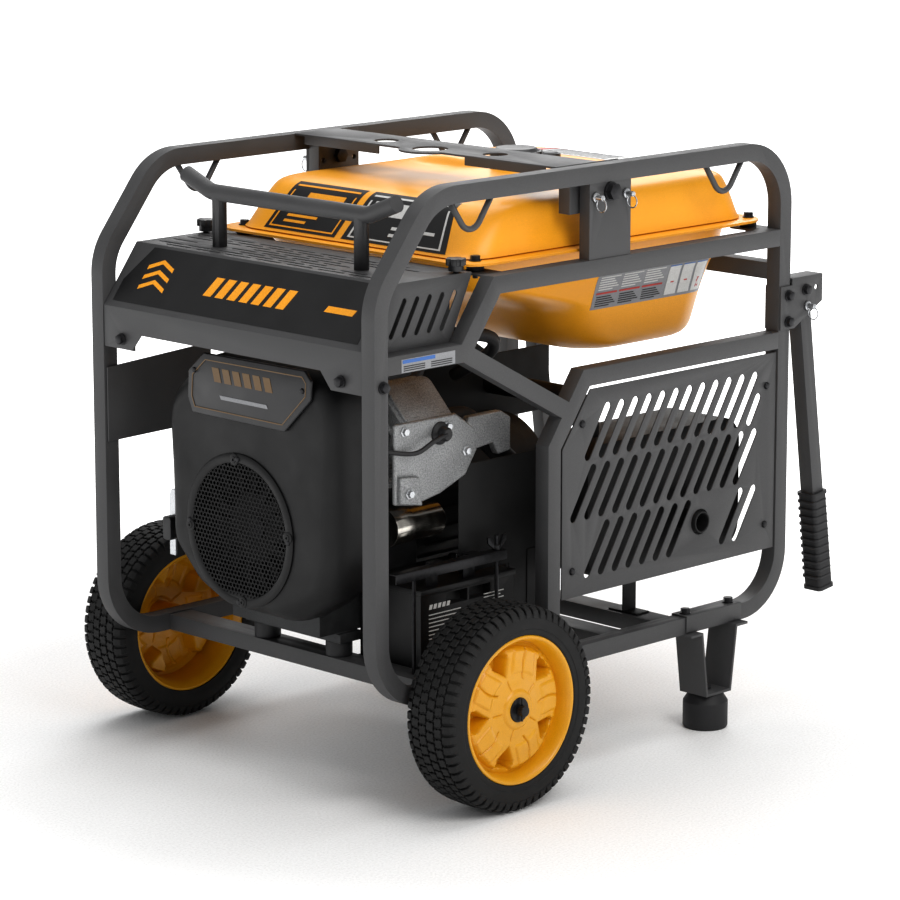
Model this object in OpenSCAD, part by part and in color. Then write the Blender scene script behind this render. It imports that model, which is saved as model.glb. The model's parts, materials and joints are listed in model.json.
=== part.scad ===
// Portable generator on a tube frame: engine end towards -X, handles and feet towards +X.
// The slotted exhaust side faces -Y ("left"), the control panel side faces +Y ("right").
// The origin is on the ground, under the middle of the whole machine.

/* [Frame] */
// Length of a side loop over its posts
frame_len = 894; // [800:1:1100]
// Width over the two side loops
frame_w = 609; // [560:1:740]
// Height of a side loop
frame_h = 743; // [720:1:900]
// Side of the square frame tube
tube = 26; // [22:1:31]
// Outer radius of the bends in a side loop
bend_r = 100; // [70:1:120]
// Horizontal run of the sloped front corner
slope_run = 105; // [80:1:130]
// Drop of the sloped front corner
slope_drop = 134; // [110:1:160]
// Gap between the axle and the underside of the frame
axle_gap = 0.5; // [0.2:0.1:5]
// Height of the middle rail's centre under the top of the loop
mid_rail_drop = 151.5; // [140:0.5:170]
// Drop from the middle rail to the short front rail
front_rail_drop = 90; // [70:1:110]
// Front end of the middle rail, measured from the front of the loop
mid_rail_start = 243.5; // [220:0.5:300]
// Run of the sloped stretch between the middle rail and the short front rail
rail_slope_run = 65; // [50:1:80]
// Height of the panel frame's top rail over the underside of the loop
panel_rail_h = 431; // [400:1:460]
// Setback of the panel frame's post from the front of the loop
panel_post_setback = 365; // [340:1:420]
// Run of the panel frame's sloped corner
panel_slope_run = 68; // [50:1:80]
// Drop of the panel frame's sloped corner
panel_slope_drop = 95.5; // [80:0.5:110]
// Width of the posts that carry the lifting bracket
mid_post_w = 89; // [70:1:110]
// Depth of the posts that carry the lifting bracket
mid_post_d = 20; // [16:1:24]
// Thickness of the pressed steel brackets
plate_t = 3; // [2:0.5:4]
// Diameter of the tie hooks' rod
hook_d = 9; // [7:0.5:11]
// Depth of a tie hook under its rail
hook_depth = 50; // [40:1:60]
// Width of a tie hook at its rail
hook_w = 82; // [70:1:90]

/* [Wheels and feet] */
// Outer diameter of the tyres
wheel_d = 304; // [280:1:360]
// Width of the tyres
tyre_w = 90; // [70:1:110]
// Diameter of the rim's outer lip
rim_d = 219; // [190:1:230]
// Setback of the axle from the front of the loop
axle_setback = 197; // [180:1:230]
// Diameter of the axle
axle_d = 16; // [12:0.5:20]
// Radial running clearance of the wheels on the axle
axle_fit = 0.06; // [0.02:0.01:0.1]
// Gap between a tyre and the frame
wheel_gap = 8; // [5:1:20]
// Diameter of the rubber feet
foot_d = 70; // [50:1:80]
// Height of the rubber feet
foot_h = 56; // [40:1:70]
// Setback of the feet from the start of the loop's rear bend
foot_setback = 71; // [50:1:100]

/* [Handles] */
// Height of the handle pivots over the underside of the loop
pivot_h = 504.5; // [480:0.5:520]
// Distance of the handle pivots behind the rear posts
pivot_reach = 34; // [30:1:45]
// Length of a handle from its pivot to the end of its grip
handle_len = 495; // [420:1:500]
// Tilt of the stored handles from the vertical
handle_tilt = 7.7; // [5:0.1:12]
// Side of the handle arm's square tube
arm = 25; // [20:1:26]
// Length of the rubber grips
grip_len = 162; // [120:1:180]
// Width of the rubber grips
grip_w = 35; // [32:1:40]
// Diameter of the pull pins
pin_d = 8; // [6:0.5:9]
// Radial running clearance of the pull pins
pin_fit = 0.08; // [0.03:0.01:0.1]

/* [Tank and hood] */
// Gap under the tank flange, filled by the rubber bushings
tank_gap = 10; // [8:1:14]
// Thickness of the tank sheet
tank_t = 2; // [1.5:0.5:3]
// Height of the tank's shoulders over its flange
shoulder_h = 74; // [60:1:80]
// Height of the tank's raised top over its flange
crown_h = 91; // [80:1:94]
// Depth of the deep rear part of the tank
tub_deep = 187; // [160:1:195]
// Depth of the shallow front part of the tank
tub_shallow = 56; // [45:1:65]
// Height of the hood's top over the middle rail's top
hood_rise = 6; // [4:1:9]
// Thickness of the hood sheet
hood_t = 2; // [1.5:0.5:3]
// Length of the flat top of the hood
hood_top_len = 152; // [140:1:160]

/* [Engine] */
// Height of the crankshaft over the underside of the loop
crank_h = 219; // [205:1:240]
// Width of the blower shroud
shroud_w = 371; // [350:1:385]
// Depth of the blower shroud
shroud_depth = 68; // [60:1:75]
// Diameter of the intake grille
grille_d = 230; // [200:1:240]
// Diameter of the alternator's case
alternator_d = 214; // [180:1:225]
// Length of the alternator's case
alternator_len = 250; // [220:1:270]

/* [Battery] */
// Length of the battery
battery_len = 194; // [180:1:200]
// Width of the battery
battery_w = 128; // [120:1:135]
// Height of the battery
battery_h = 143; // [130:1:145]

/* [Hidden] */
$fn = 48;

// ---- Derived places: x along the frame, y across it, z from the ground ----
tube_wall = 2;
bend_steps = 14;
steel = [0.29, 0.29, 0.29];
amber = [0.95, 0.63, 0.13];
black = [0.13, 0.13, 0.13];
silver = [0.72, 0.72, 0.71];
grip_half = grip_w / 2 + 1;
handle_reach = pivot_reach + handle_len * sin(handle_tilt) + grip_half * cos(handle_tilt);
bolt_flange_t = 1.6;
bolt_head_h = 6.5;
front_x = -(frame_len + handle_reach - bolt_flange_t - bolt_head_h) / 2;
rear_x = front_x + frame_len;
half_w = frame_w / 2;
axle_z = wheel_d / 2;
frame_z = axle_z + axle_d / 2 + axle_gap;
top_z = frame_z + frame_h;
mid_rail_z = top_z - mid_rail_drop;
mid_rail_top = mid_rail_z + tube / 2;
front_rail_z = mid_rail_z - front_rail_drop;
panel_rail_z = frame_z + panel_rail_h;
rail_y = half_w - tube;
bar_y = half_w - tube / 2;
axle_x = front_x + axle_setback;
foot_x = rear_x - bend_r - foot_setback;
post_x = front_x + 482.5;
crank_z = frame_z + crank_h;
pivot_x = rear_x + pivot_reach;
pivot_z = frame_z + pivot_h;
tyre_in = half_w + wheel_gap;
bolt_d = 8;
bolt_clear = 0.4;
lift_bolt_d = 14;
lift_bolt_z = top_z - tube - 14.5;
lift_pin_pitch = 66;
lift_pin_z = lift_bolt_z - 6;

// ---- Helpers ----
// Both mirrored sides of what is drawn for +Y
module both_sides() {
    children();
    mirror([0, 1, 0]) children();
}

// One side: -1 draws what is made for +Y on the -Y side
module on_side(s) {
    if (s > 0) children();
    else mirror([0, 1, 0]) children();
}

// Stands an X-Z outline up, from y = y0 to y = y0 + depth
module upright(y0, depth) {
    translate([0, y0 + depth, 0]) rotate([90, 0, 0]) linear_extrude(depth) children();
}

function unit(v) = v / norm(v);
function left_of(v) = [-v[1], v[0]];
// Offset of a mitred path to one side; half may be negative
function side_line(p, half) = [
    for (i = [0 : len(p) - 1])
        let (a = i > 0 ? left_of(unit(p[i] - p[i - 1])) : left_of(unit(p[1] - p[0])),
             b = i < len(p) - 1 ? left_of(unit(p[i + 1] - p[i])) : a)
        p[i] + half * (a + b) / (1 + a * b)
];
function reversed(v) = [for (i = [len(v) - 1 : -1 : 0]) v[i]];
// Flat outline of a mitred bar of width 2 * half along a path
module mitred_bar(path, half) {
    polygon(concat(side_line(path, half), reversed(side_line(path, -half))));
}

// Turning angle at corner i of a path
function turn_at(p, i) = let (a = unit(p[i] - p[i - 1]), b = unit(p[i + 1] - p[i]))
    atan2(a[0] * b[1] - a[1] * b[0], a * b);
function trim_at(p, i, r) = i == 0 || i == len(p) - 1 ? 0 : r * tan(abs(turn_at(p, i)) / 2);
// Stations [x, y, heading] of one corner's arc, in n steps
function corner(p, i, r, n) = let (
        d = unit(p[i] - p[i - 1]), turn = turn_at(p, i), side = sign(turn), head = atan2(d[1], d[0]),
        c = p[i] - d * trim_at(p, i, r) + left_of(d) * r * side)
    [for (k = [0 : n]) let (a = head + turn * k / n)
        [c[0] + r * cos(a - 90 * side), c[1] + r * sin(a - 90 * side), a]];
function heading(a, b) = atan2(b[1] - a[1], b[0] - a[0]);
// Stations along an open path whose corners are bent to the centre-line radius r
function stations(p, r, n) = let (m = len(p) - 1) concat(
    [[p[0][0], p[0][1], heading(p[0], p[1])]],
    [for (i = [1 : m - 1]) for (q = corner(p, i, r, n)) q],
    [[p[m][0], p[m][1], heading(p[m - 1], p[m])]]);
// Line at a sideways offset from a list of stations
function beside(st, off) = [for (q = st) [q[0] - off * sin(q[2]), q[1] + off * cos(q[2])]];
// Flat outline of a bent flat bar, closed on itself where the path comes back to its start
module bent_band(path, r, half) {
    st = stations(path, r, bend_steps);
    if (norm(path[0] - path[len(path) - 1]) < 0.01) difference() {
        polygon(beside(st, -half));
        polygon(beside(st, half));
    } else polygon(concat(beside(st, half), reversed(beside(st, -half))));
}
// Round bar in the X-Y plane along an open path
module round_bar(path, r, d, sides = 20) {
    st = stations(path, r, 8);
    n = sides;
    last = len(st) - 1;
    ring = [for (k = [0 : n - 1]) [d / 2 * cos(360 * k / n), d / 2 * sin(360 * k / n)]];
    pts = [for (q = st) for (c = ring) [q[0] - c[0] * sin(q[2]), q[1] + c[0] * cos(q[2]), c[1]]];
    walls = [for (i = [0 : last - 1]) for (k = [0 : n - 1]) let (k2 = (k + 1) % n)
        [i * n + k, (i + 1) * n + k, (i + 1) * n + k2, i * n + k2]];
    first_cap = [for (k = [0 : n - 1]) k];
    last_cap = [for (k = [n - 1 : -1 : 0]) last * n + k];
    polyhedron(pts, concat([first_cap], walls, [last_cap]), convexity = 6);
}

// Hexagon-flange bolt standing on z = 0, head up, shank down
module flange_bolt(length) {
    translate([0, 0, -length]) cylinder(d = bolt_d, h = length);
    cylinder(d = 18, h = bolt_flange_t);
    translate([0, 0, bolt_flange_t]) cylinder(d = 15, h = bolt_head_h, $fn = 6);
}
module bolt_hole(length) {
    translate([0, 0, -length]) cylinder(d = bolt_d + bolt_clear, h = length + 1);
}

// Rounded rectangle from circles and squares, centred
module round_rect(w, h, r) {
    square([w - 2 * r, h], center = true);
    square([w, h - 2 * r], center = true);
    for (i = [-1, 1], j = [-1, 1]) translate([i * (w / 2 - r), j * (h / 2 - r)]) circle(r);
}
// Slot with round ends between two points
module slot(a, b, w) {
    t = heading(a, b);
    polygon(concat(arc(a, w / 2, t + 90, 6), arc(b, w / 2, t - 90, 6)));
}
function arc(c, r, a0, n) = [for (i = [0 : n]) let (a = a0 + 180 * i / n) c + r * [cos(a), sin(a)]];

// ---- Bolt places ----
tank_bolt_x = [front_x + 257, rear_x - 35];
tank_bolt_y = rail_y - 31.5;
flange_z = mid_rail_top + tank_gap;
flange_t = 2 * tank_t;
hood_ear_y = rail_y - 42;
hood_bolt_z = front_rail_z - 26;
handle_bolts = [[rear_x - 7, pivot_z - 5], [rear_x - 7, pivot_z - 46]];
foot_bolt_dx = 50;
saddle_t = 2.5;
bottom_rail_top = frame_z + tube;
module at_tank_bolts() {
    for (x = tank_bolt_x, s = [-1, 1]) translate([x, s * tank_bolt_y, flange_z + flange_t]) children();
}
module at_hood_bolts() {
    for (s = [-1, 1]) translate([front_x, s * hood_ear_y, hood_bolt_z]) rotate([0, -90, 0]) children();
}
module at_post_bolts() {
    for (s = [-1, 1])
        translate([front_x + tube / 2 + 3, s * half_w, hood_bolt_z - 2]) rotate([-s * 90, 0, 0]) children();
}
module at_handle_bolts() {
    for (p = handle_bolts, s = [-1, 1])
        translate([p[0], s * (half_w + plate_t), p[1]]) rotate([-s * 90, 0, 0]) children();
}
module at_foot_bolts() {
    for (dx = [-foot_bolt_dx, foot_bolt_dx], s = [-1, 1])
        translate([foot_x + dx, s * bar_y, bottom_rail_top + saddle_t]) children();
}
module at_pivot_bolts() {
    for (s = [-1, 1])
        translate([pivot_x, s * (half_w + plate_t), pivot_z]) rotate([-s * 90, 0, 0]) children();
}
tank_bolt_len = flange_t + tank_gap + plate_t + 8;
hood_bolt_len = 14;
handle_bolt_len = tube + 2 * plate_t + 4;
foot_bolt_len = tube + saddle_t + 8;

// ---- Frame ----
loop_path = let (
        x0 = front_x + tube / 2, x1 = rear_x - tube / 2,
        z0 = frame_z + tube / 2, z1 = top_z - tube / 2)
    [[(x0 + x1) / 2, z0], [x1, z0], [x1, z1], [x0 + slope_run, z1], [x0, z1 - slope_drop], [x0, z0],
     [(x0 + x1) / 2, z0]];
module side_loop() {
    difference() {
        upright(rail_y, tube) bent_band(loop_path, bend_r - tube / 2, tube / 2);
        upright(rail_y + tube_wall, tube - 2 * tube_wall)
            bent_band(loop_path, bend_r - tube / 2, tube / 2 - tube_wall);
        at_post_bolts() bolt_hole(tube + 2);
        at_handle_bolts() bolt_hole(handle_bolt_len + 4);
        at_foot_bolts() bolt_hole(foot_bolt_len + 4);
    }
}
module side_loop_left() color(steel) on_side(-1) side_loop();
module side_loop_right() color(steel) on_side(1) side_loop();

mid_rail_path = let (x0 = front_x + tube, x1 = rear_x - tube, xs = front_x + mid_rail_start)
    [[x1, mid_rail_z], [xs, mid_rail_z], [xs - rail_slope_run, front_rail_z], [x0, front_rail_z]];
panel_path = let (x0 = front_x + panel_post_setback, x1 = rear_x - tube)
    [[x0, bottom_rail_top], [x0, panel_rail_z - panel_slope_drop],
     [x0 + panel_slope_run, panel_rail_z], [x1, panel_rail_z]];
brace_path = [mid_rail_path[2], (panel_path[1] + panel_path[2]) / 2];
tab_w = 44;
module inner_rails() {
    upright(rail_y, tube) mitred_bar(mid_rail_path, tube / 2);
    upright(rail_y, tube) mitred_bar(panel_path, tube / 2);
    upright(rail_y, tube) difference() {
        mitred_bar(brace_path, tube / 2);
        mitred_bar(mid_rail_path, tube / 2);
        mitred_bar(panel_path, tube / 2);
    }
    difference() {
        translate([post_x - mid_post_w / 2, half_w - 2 - mid_post_d, mid_rail_top])
            cube([mid_post_w, mid_post_d, top_z - tube - mid_rail_top]);
        translate([post_x - mid_post_w / 2 + plate_t, half_w - 2 - mid_post_d - 1, mid_rail_top + plate_t])
            cube([mid_post_w - 2 * plate_t, mid_post_d + 1 - plate_t,
                  top_z - tube - mid_rail_top - 2 * plate_t]);
        lift_holes();
    }
    hood_tab();
    for (x = tank_bolt_x) difference() {
        translate([x - tab_w / 2, tank_bolt_y - 18, mid_rail_top - plate_t])
            cube([tab_w, rail_y - tank_bolt_y + 18, plate_t]);
        at_tank_bolts() bolt_hole(tank_bolt_len + 4);
    }
}
hood_tab_w = 66;
module hood_tab() {
    difference() {
        translate([front_x + 3.5, rail_y - hood_tab_w, hood_bolt_z - 16]) cube([plate_t, hood_tab_w, 23]);
        at_hood_bolts() bolt_hole(hood_bolt_len + 4);
    }
}
module inner_rails_left() color(steel) on_side(-1) inner_rails();
module inner_rails_right() color(steel) on_side(1) inner_rails();

hook_x = [front_x + bend_r + 102, rear_x - bend_r - 47];
module tie_hook(x) {
    z0 = top_z - tube;
    path = [[x - hook_w / 2, z0], [x, z0 - hook_depth - 8], [x + hook_w / 2, z0]];
    translate([0, bar_y, 0]) rotate([90, 0, 0]) round_bar(path, 22, hook_d, 12);
}
module tie_hooks() {
    color(steel) both_sides() for (x = hook_x) difference() {
        tie_hook(x);
        translate([x - hook_w, rail_y - 1, top_z - tube]) cube([2 * hook_w, tube + 2, tube]);
    }
}

member_w = 42;
member_h = 24;
member_t = 3;
member_x = [front_x + 143, front_x + 522, foot_x - 87];
module channel_across(x) {
    translate([x, 0, frame_z]) rotate([90, 0, 0]) linear_extrude(2 * rail_y, center = true) difference() {
        translate([-member_w / 2, 0]) square([member_w, member_h]);
        translate([-member_w / 2 + member_t, -1])
            square([member_w - 2 * member_t, member_h - member_t + 1]);
    }
}
hanger_w = 44;
module axle_hanger() {
    difference() {
        translate([axle_x - hanger_w / 2, rail_y + 3, axle_z - axle_d / 2 - 5])
            cube([hanger_w, tube - 6, axle_d + axle_gap + 5]);
        translate([axle_x, rail_y, axle_z]) rotate([-90, 0, 0])
            cylinder(d = axle_d + 2 * axle_fit, h = tube);
    }
}
rear_tie_z = mid_rail_z - 67;
module cross_members() color(steel) {
    difference() {
        for (x = member_x) channel_across(x);
        at_mounts() translate([0, 0, -10]) cylinder(d = mount_stud + 0.8, h = 20);
    }
    both_sides() axle_hanger();
    translate([rear_x - tube, -rail_y, rear_tie_z]) cube([tube, 2 * rail_y, tube]);
}

// ---- Lifting bracket ----
ear_w = 86;
ear_h = 72;
ear_y = rail_y - 0.4;
lift_plate_w = 92;
lift_hole_d = 38;
lift_big_d = 54;
lift_hole_y = 116;
lift_drop = 14;
module lift_holes() {
    translate([post_x, 0, lift_bolt_z]) rotate([-90, 0, 0])
        cylinder(d = lift_bolt_d + 2 * pin_fit, h = half_w);
    for (s = [-1, 1]) translate([post_x + s * lift_pin_pitch / 2, 0, lift_pin_z])
        rotate([-90, 0, 0]) cylinder(d = pin_d + 2 * pin_fit, h = half_w);
}
lift_x = post_x - 45;
lift_eye_x = lift_x - 26;
lift_flat_z = top_z - plate_t + 1;
lift_return = 22;
lift_nose = 18;
module lifting_ear() {
    x0 = post_x - ear_w / 2 - lift_nose;
    low = top_z - ear_h;
    translate([x0, ear_y - plate_t, low]) cube([ear_w + lift_nose, plate_t, ear_h + 1]);
    translate([x0, ear_y - lift_return, low]) cube([plate_t, lift_return, ear_h + 1]);
}
module lifting_bracket() color(steel) difference() {
    union() {
        translate([lift_x - lift_plate_w / 2, -ear_y, lift_flat_z])
            cube([lift_plate_w, 2 * ear_y, plate_t]);
        translate([lift_eye_x, 0, lift_flat_z]) cylinder(d = 96, h = plate_t);
        both_sides() lifting_ear();
        both_sides() translate([lift_x - lift_plate_w / 2, 92, top_z - lift_drop])
            cube([plate_t, ear_y - lift_return - 92, lift_drop]);
    }
    translate([lift_eye_x, 0, top_z - 10]) cylinder(d = lift_big_d, h = 20);
    for (s = [-1, 1])
        translate([post_x - 50, s * lift_hole_y, top_z - 10]) cylinder(d = lift_hole_d, h = 20);
    both_sides() lift_holes();
}
module lifting_bolts() color(steel) both_sides()
translate([post_x, half_w - 2, lift_bolt_z]) rotate([-90, 0, 0]) {
    reach = half_w - 2 - ear_y + plate_t + 9;
    translate([0, 0, -reach]) cylinder(d = lift_bolt_d, h = reach);
    translate([0, 0, -reach]) cylinder(d = 24, h = 8, $fn = 6);
    translate([0, 0, -mid_post_d - 3.5]) cylinder(d = 28, h = 3.5);
    cylinder(d = 28, h = 3);
    translate([0, 0, 3]) cylinder(d = 25, h = 9, $fn = 6);
}
module ring_pin(length) {
    translate([0, 0, -length]) cylinder(d = pin_d, h = length + 16);
    difference() {
        translate([0, 0, 1]) cylinder(d = pin_d + 6, h = 2.5);
        translate([0, 0, 0]) cylinder(d = pin_d - 0.5, h = 5);
    }
    translate([0, 11, 13]) rotate([0, 90, 0])
        rotate_extrude($fn = 48) translate([9.5, 0]) circle(d = 2, $fn = 12);
}
module lift_pin(s, t) color(silver) on_side(s)
    translate([post_x + t * lift_pin_pitch / 2, half_w - 2, lift_pin_z])
        rotate([-90, 0, 0]) ring_pin(mid_post_d);
module lift_pin_left_front() lift_pin(-1, -1);
module lift_pin_left_rear() lift_pin(-1, 1);
module lift_pin_right_front() lift_pin(1, -1);
module lift_pin_right_rear() lift_pin(1, 1);

// ---- Fuel tank ----
tank_x0 = front_x + 217;
tank_x1 = rear_x - 17;
tank_half = rail_y - 2;
shell_x0 = tank_x0 + 20;
shell_x1 = tank_x1 - 14;
shell_half = tank_half - 23;
tank_taper = 26;
cap_x = post_x + 115;
neck_d = 58;
cap_d = 78;
// Corner-cut outline of the tank, as [x, y] points, shrunk by s
function tank_outline(s) = let (x0 = shell_x0 + s, x1 = shell_x1 - s, h = shell_half - s, c = 78 - s * 0.6)
    [[x0, -h + c], [x0 + c, -h], [x1 - c / 2, -h], [x1, -h + c / 2],
     [x1, h - c / 2], [x1 - c / 2, h], [x0 + c, h], [x0, h - c]];
// Convex solid through stacked copies of the outline: levels are [z, shrink] pairs
module loft(levels) {
    hull() for (l = levels) translate([0, 0, l[0] - 0.01]) linear_extrude(0.01) polygon(tank_outline(l[1]));
}
module tank_flange(z, t) {
    translate([(tank_x0 + tank_x1) / 2, 0, z]) linear_extrude(t)
        round_rect(tank_x1 - tank_x0, 2 * tank_half, 45);
}
upper_z = flange_z + tank_t;
module upper_body(g) {
    loft([[upper_z + 0.01, g], [upper_z + shoulder_h - 16 - g, tank_taper + g],
          [upper_z + shoulder_h - g, tank_taper + 14 + g], [upper_z + crown_h - g, tank_taper + 52 + g]]);
}
saddle_w = 178;
saddle_depth = 22;
saddle_len = 164;
module bracket_recess(g) {
    both_sides() translate([post_x - 20 - saddle_w / 2 - g, ear_y - 34 - g, upper_z + 24 - g])
        cube([saddle_w + 2 * g, 80, 120]);
    translate([lift_eye_x - 36 - g, -300, upper_z + crown_h - saddle_depth / 2 - g])
        cube([saddle_len + 2 * g, 600, 60]);
}
module fuel_tank_upper() color(amber) difference() {
    union() {
        tank_flange(upper_z, tank_t);
        difference() {
            upper_body(0);
            bracket_recess(0);
        }
        translate([cap_x, 0, upper_z + crown_h - 6]) cylinder(d = neck_d, h = 12);
    }
    difference() {
        union() {
            upper_body(tank_t);
            translate([0, 0, upper_z - 1]) linear_extrude(2) polygon(tank_outline(tank_t));
        }
        bracket_recess(tank_t);
    }
    translate([cap_x, 0, upper_z]) cylinder(d = neck_d - 8, h = crown_h + 20);
    at_tank_bolts() bolt_hole(tank_bolt_len + 4);
}
tub_knee_x = front_x + 306;
tub_low_x = front_x + 596;
tub_rear_x = rear_x - 33;
tub_inset = 28;
module tub_slab(x0, x1, half, z) {
    translate([x0, -half, z]) cube([x1 - x0, 2 * half, 1]);
}
module tub_block(g) {
    hull() {
        tub_slab(shell_x0 + 24 + g, tub_rear_x - g, shell_half - tub_inset - g, flange_z - 1);
        tub_slab(tub_knee_x + g, tub_rear_x - 4 - g, shell_half - tub_inset - 4 - g,
                 flange_z - tub_shallow + g);
        tub_slab(tub_low_x - 60 + g, tub_rear_x - 12 - g, shell_half - 62 - g,
                 flange_z - tub_deep + 26 + g);
        tub_slab(tub_low_x + g, tub_rear_x - 34 - g, shell_half - 92 - g, flange_z - tub_deep + g);
    }
}
module fuel_tank_lower() color(amber) difference() {
    union() {
        tank_flange(flange_z, tank_t);
        tub_block(0);
    }
    union() {
        tub_block(tank_t);
        translate([shell_x0 + 24 + tank_t, -shell_half + tub_inset + tank_t, flange_z - 1.5])
            cube([tub_rear_x - shell_x0 - 24 - 2 * tank_t, 2 * (shell_half - tub_inset - tank_t), 10]);
    }
    at_tank_bolts() bolt_hole(tank_bolt_len + 4);
}
module fuel_gauge() color(black) translate([cap_x + 75, 0, upper_z + crown_h]) {
    cylinder(d = 34, h = 6);
    translate([0, 0, 6]) cylinder(d = 26, h = 1.5);
}
module fuel_cap() color(black) translate([cap_x, 0, upper_z + crown_h + 0.3]) difference() {
    union() {
        cylinder(d = cap_d, h = 16);
        translate([0, 0, 16]) cylinder(d1 = cap_d - 6, d2 = cap_d - 16, h = 5);
        for (a = [0 : 30 : 330]) rotate(a) translate([cap_d / 2 - 2, -4, 0]) cube([4, 8, 16]);
    }
    translate([0, 0, -1]) cylinder(d = neck_d + 0.6, h = 9);
}
module tank_bushings() color(black) difference() {
    for (x = tank_bolt_x, s = [-1, 1])
        translate([x, s * tank_bolt_y, mid_rail_top]) cylinder(d = 26, h = tank_gap);
    at_tank_bolts() bolt_hole(tank_bolt_len + 4);
}

// ---- Hood and grab handle ----
hood_top = mid_rail_top + hood_rise;
hood_half = rail_y - 1;
hood_front_x = front_x + 1;
hood_slope_x = front_x + 67;
hood_rear_x = hood_slope_x + hood_top_len;
hood_slope_z = hood_top - 88;
apron_z = hood_top - 125;
ear_drop = 25;
knob_x = front_x + 197;
knob_y = hood_half - 10;
knob_stem = 8;
wing_low_z = hood_top - 100;
hood_profile = [[hood_rear_x, hood_top], [hood_slope_x, hood_top],
                [hood_front_x, hood_slope_z], [hood_front_x, apron_z]];
grab_x = front_x + 122;
grab_post_y = 152;
grab_z = hood_top + 80;
grab_d = 25;
module top_slots() {
    for (row = [0 : 7], col = [-3 : 3]) {
        x = hood_slope_x + 14 + row * 14;
        y = col * 66 + (row % 2) * 33;
        if (abs(y) < hood_half - 40 && (abs(abs(y) - grab_post_y) > 46 || abs(x - grab_x) > 22))
            translate([x, y - 25, hood_top - 5]) linear_extrude(10) slot([0, 0], [0, 50], 5);
    }
}
module wing_slots() {
    for (i = [0 : 4]) upright(-half_w, 2 * half_w)
        slot([front_x + 58 + 25 * i, hood_top - 74], [front_x + 85 + 25 * i, hood_top - 26], 8);
}
module hood_sheet() {
    upright(-hood_half, 2 * hood_half)
        polygon(concat(hood_profile, reversed(side_line(hood_profile, hood_t))));
}
module hood() color(steel) difference() {
    union() {
        hood_sheet();
        both_sides() upright(hood_half - hood_t, hood_t) polygon([
            [hood_rear_x, hood_top - hood_t], [hood_slope_x, hood_top - hood_t],
            [hood_front_x + hood_t, hood_slope_z], [hood_front_x + hood_t, apron_z],
            [hood_front_x + 40, wing_low_z], [hood_rear_x - 46, wing_low_z]]);
        both_sides() translate([hood_front_x, 0, 0]) rotate([90, 0, 90]) linear_extrude(hood_t) polygon([
            [hood_half, apron_z + 1], [hood_half, apron_z - ear_drop],
            [hood_ear_y - 22, apron_z - ear_drop], [hood_ear_y - 44, apron_z + 1]]);
    }
    top_slots();
    wing_slots();
    at_hood_bolts() bolt_hole(hood_bolt_len + 4);
    for (s = [-1, 1]) translate([knob_x, s * knob_y, hood_top - 20]) cylinder(d = knob_stem + 1, h = 40);
}
grab_path = [[-225, grab_z + 22], [-168, grab_z], [168, grab_z], [225, grab_z + 22]];
module grab_handle() color(steel) {
    translate([grab_x, 0, 0]) rotate([90, 0, 90]) round_bar(grab_path, 45, grab_d);
    for (s = [-1, 1]) translate([grab_x, s * grab_post_y, hood_top])
        cylinder(d = grab_d - 3, h = grab_z - hood_top);
}
module hood_knob(s) color(black) translate([knob_x, s * knob_y, hood_top]) {
    translate([0, 0, -14]) cylinder(d = knob_stem, h = 18);
    translate([0, 0, 3]) cylinder(d = 22, h = 8);
    difference() {
        translate([0, 0, 11]) cylinder(d = 29, h = 10);
        for (a = [0 : 60 : 300]) rotate(a) translate([16, 0, 10]) cylinder(d = 8, h = 12, $fn = 24);
    }
}
module hood_knob_left() hood_knob(-1);
module hood_knob_right() hood_knob(1);

// ---- Engine ----
shroud_x = front_x + 20;
engine_x0 = shroud_x + shroud_depth;
engine_len = 200;
case_w = 190;
case_top = crank_z + 105;
case_low = bottom_rail_top + 22;
shaft_d = 38;
mount_stud = 10;
mount_y = 78;
foot_t = 14;
module at_mounts() {
    for (x = [member_x[0], member_x[1]], s = [-1, 1])
        translate([x, s * mount_y, frame_z + member_h]) children();
}
module mount_foot(x) {
    translate([x - 22, -mount_y - 26, case_low]) cube([44, 2 * mount_y + 52, foot_t]);
}
module engine_mounts() color(black) at_mounts() {
    cylinder(d = 40, h = case_low - frame_z - member_h);
    translate([0, 0, -8]) cylinder(d = mount_stud, h = 9);
}
module crankcase() color(silver) difference() {
    union() {
        translate([engine_x0, -case_w / 2, case_low + foot_t])
            cube([engine_len, case_w, case_top - case_low - foot_t]);
        translate([engine_x0 - 20, 0, crank_z]) rotate([0, 90, 0]) cylinder(d = 150, h = 20);
        mount_foot(member_x[0]);
    }
    translate([engine_x0 + 12, -case_w / 2 + 12, case_low + 28])
        cube([engine_len - 24, case_w - 24, case_top - case_low - 42]);
    translate([engine_x0 - 30, 0, crank_z]) rotate([0, 90, 0])
        cylinder(d = shaft_d + 0.16, h = engine_len + 60);
    both_sides() on_bank() translate([0, 0, -60]) cylinder(d = 64, h = 80);
}
bank_angle = 45;
bank_start = 136;
bank_x = engine_x0 + 104;
head_z = 80;
head_h = 30;
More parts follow.
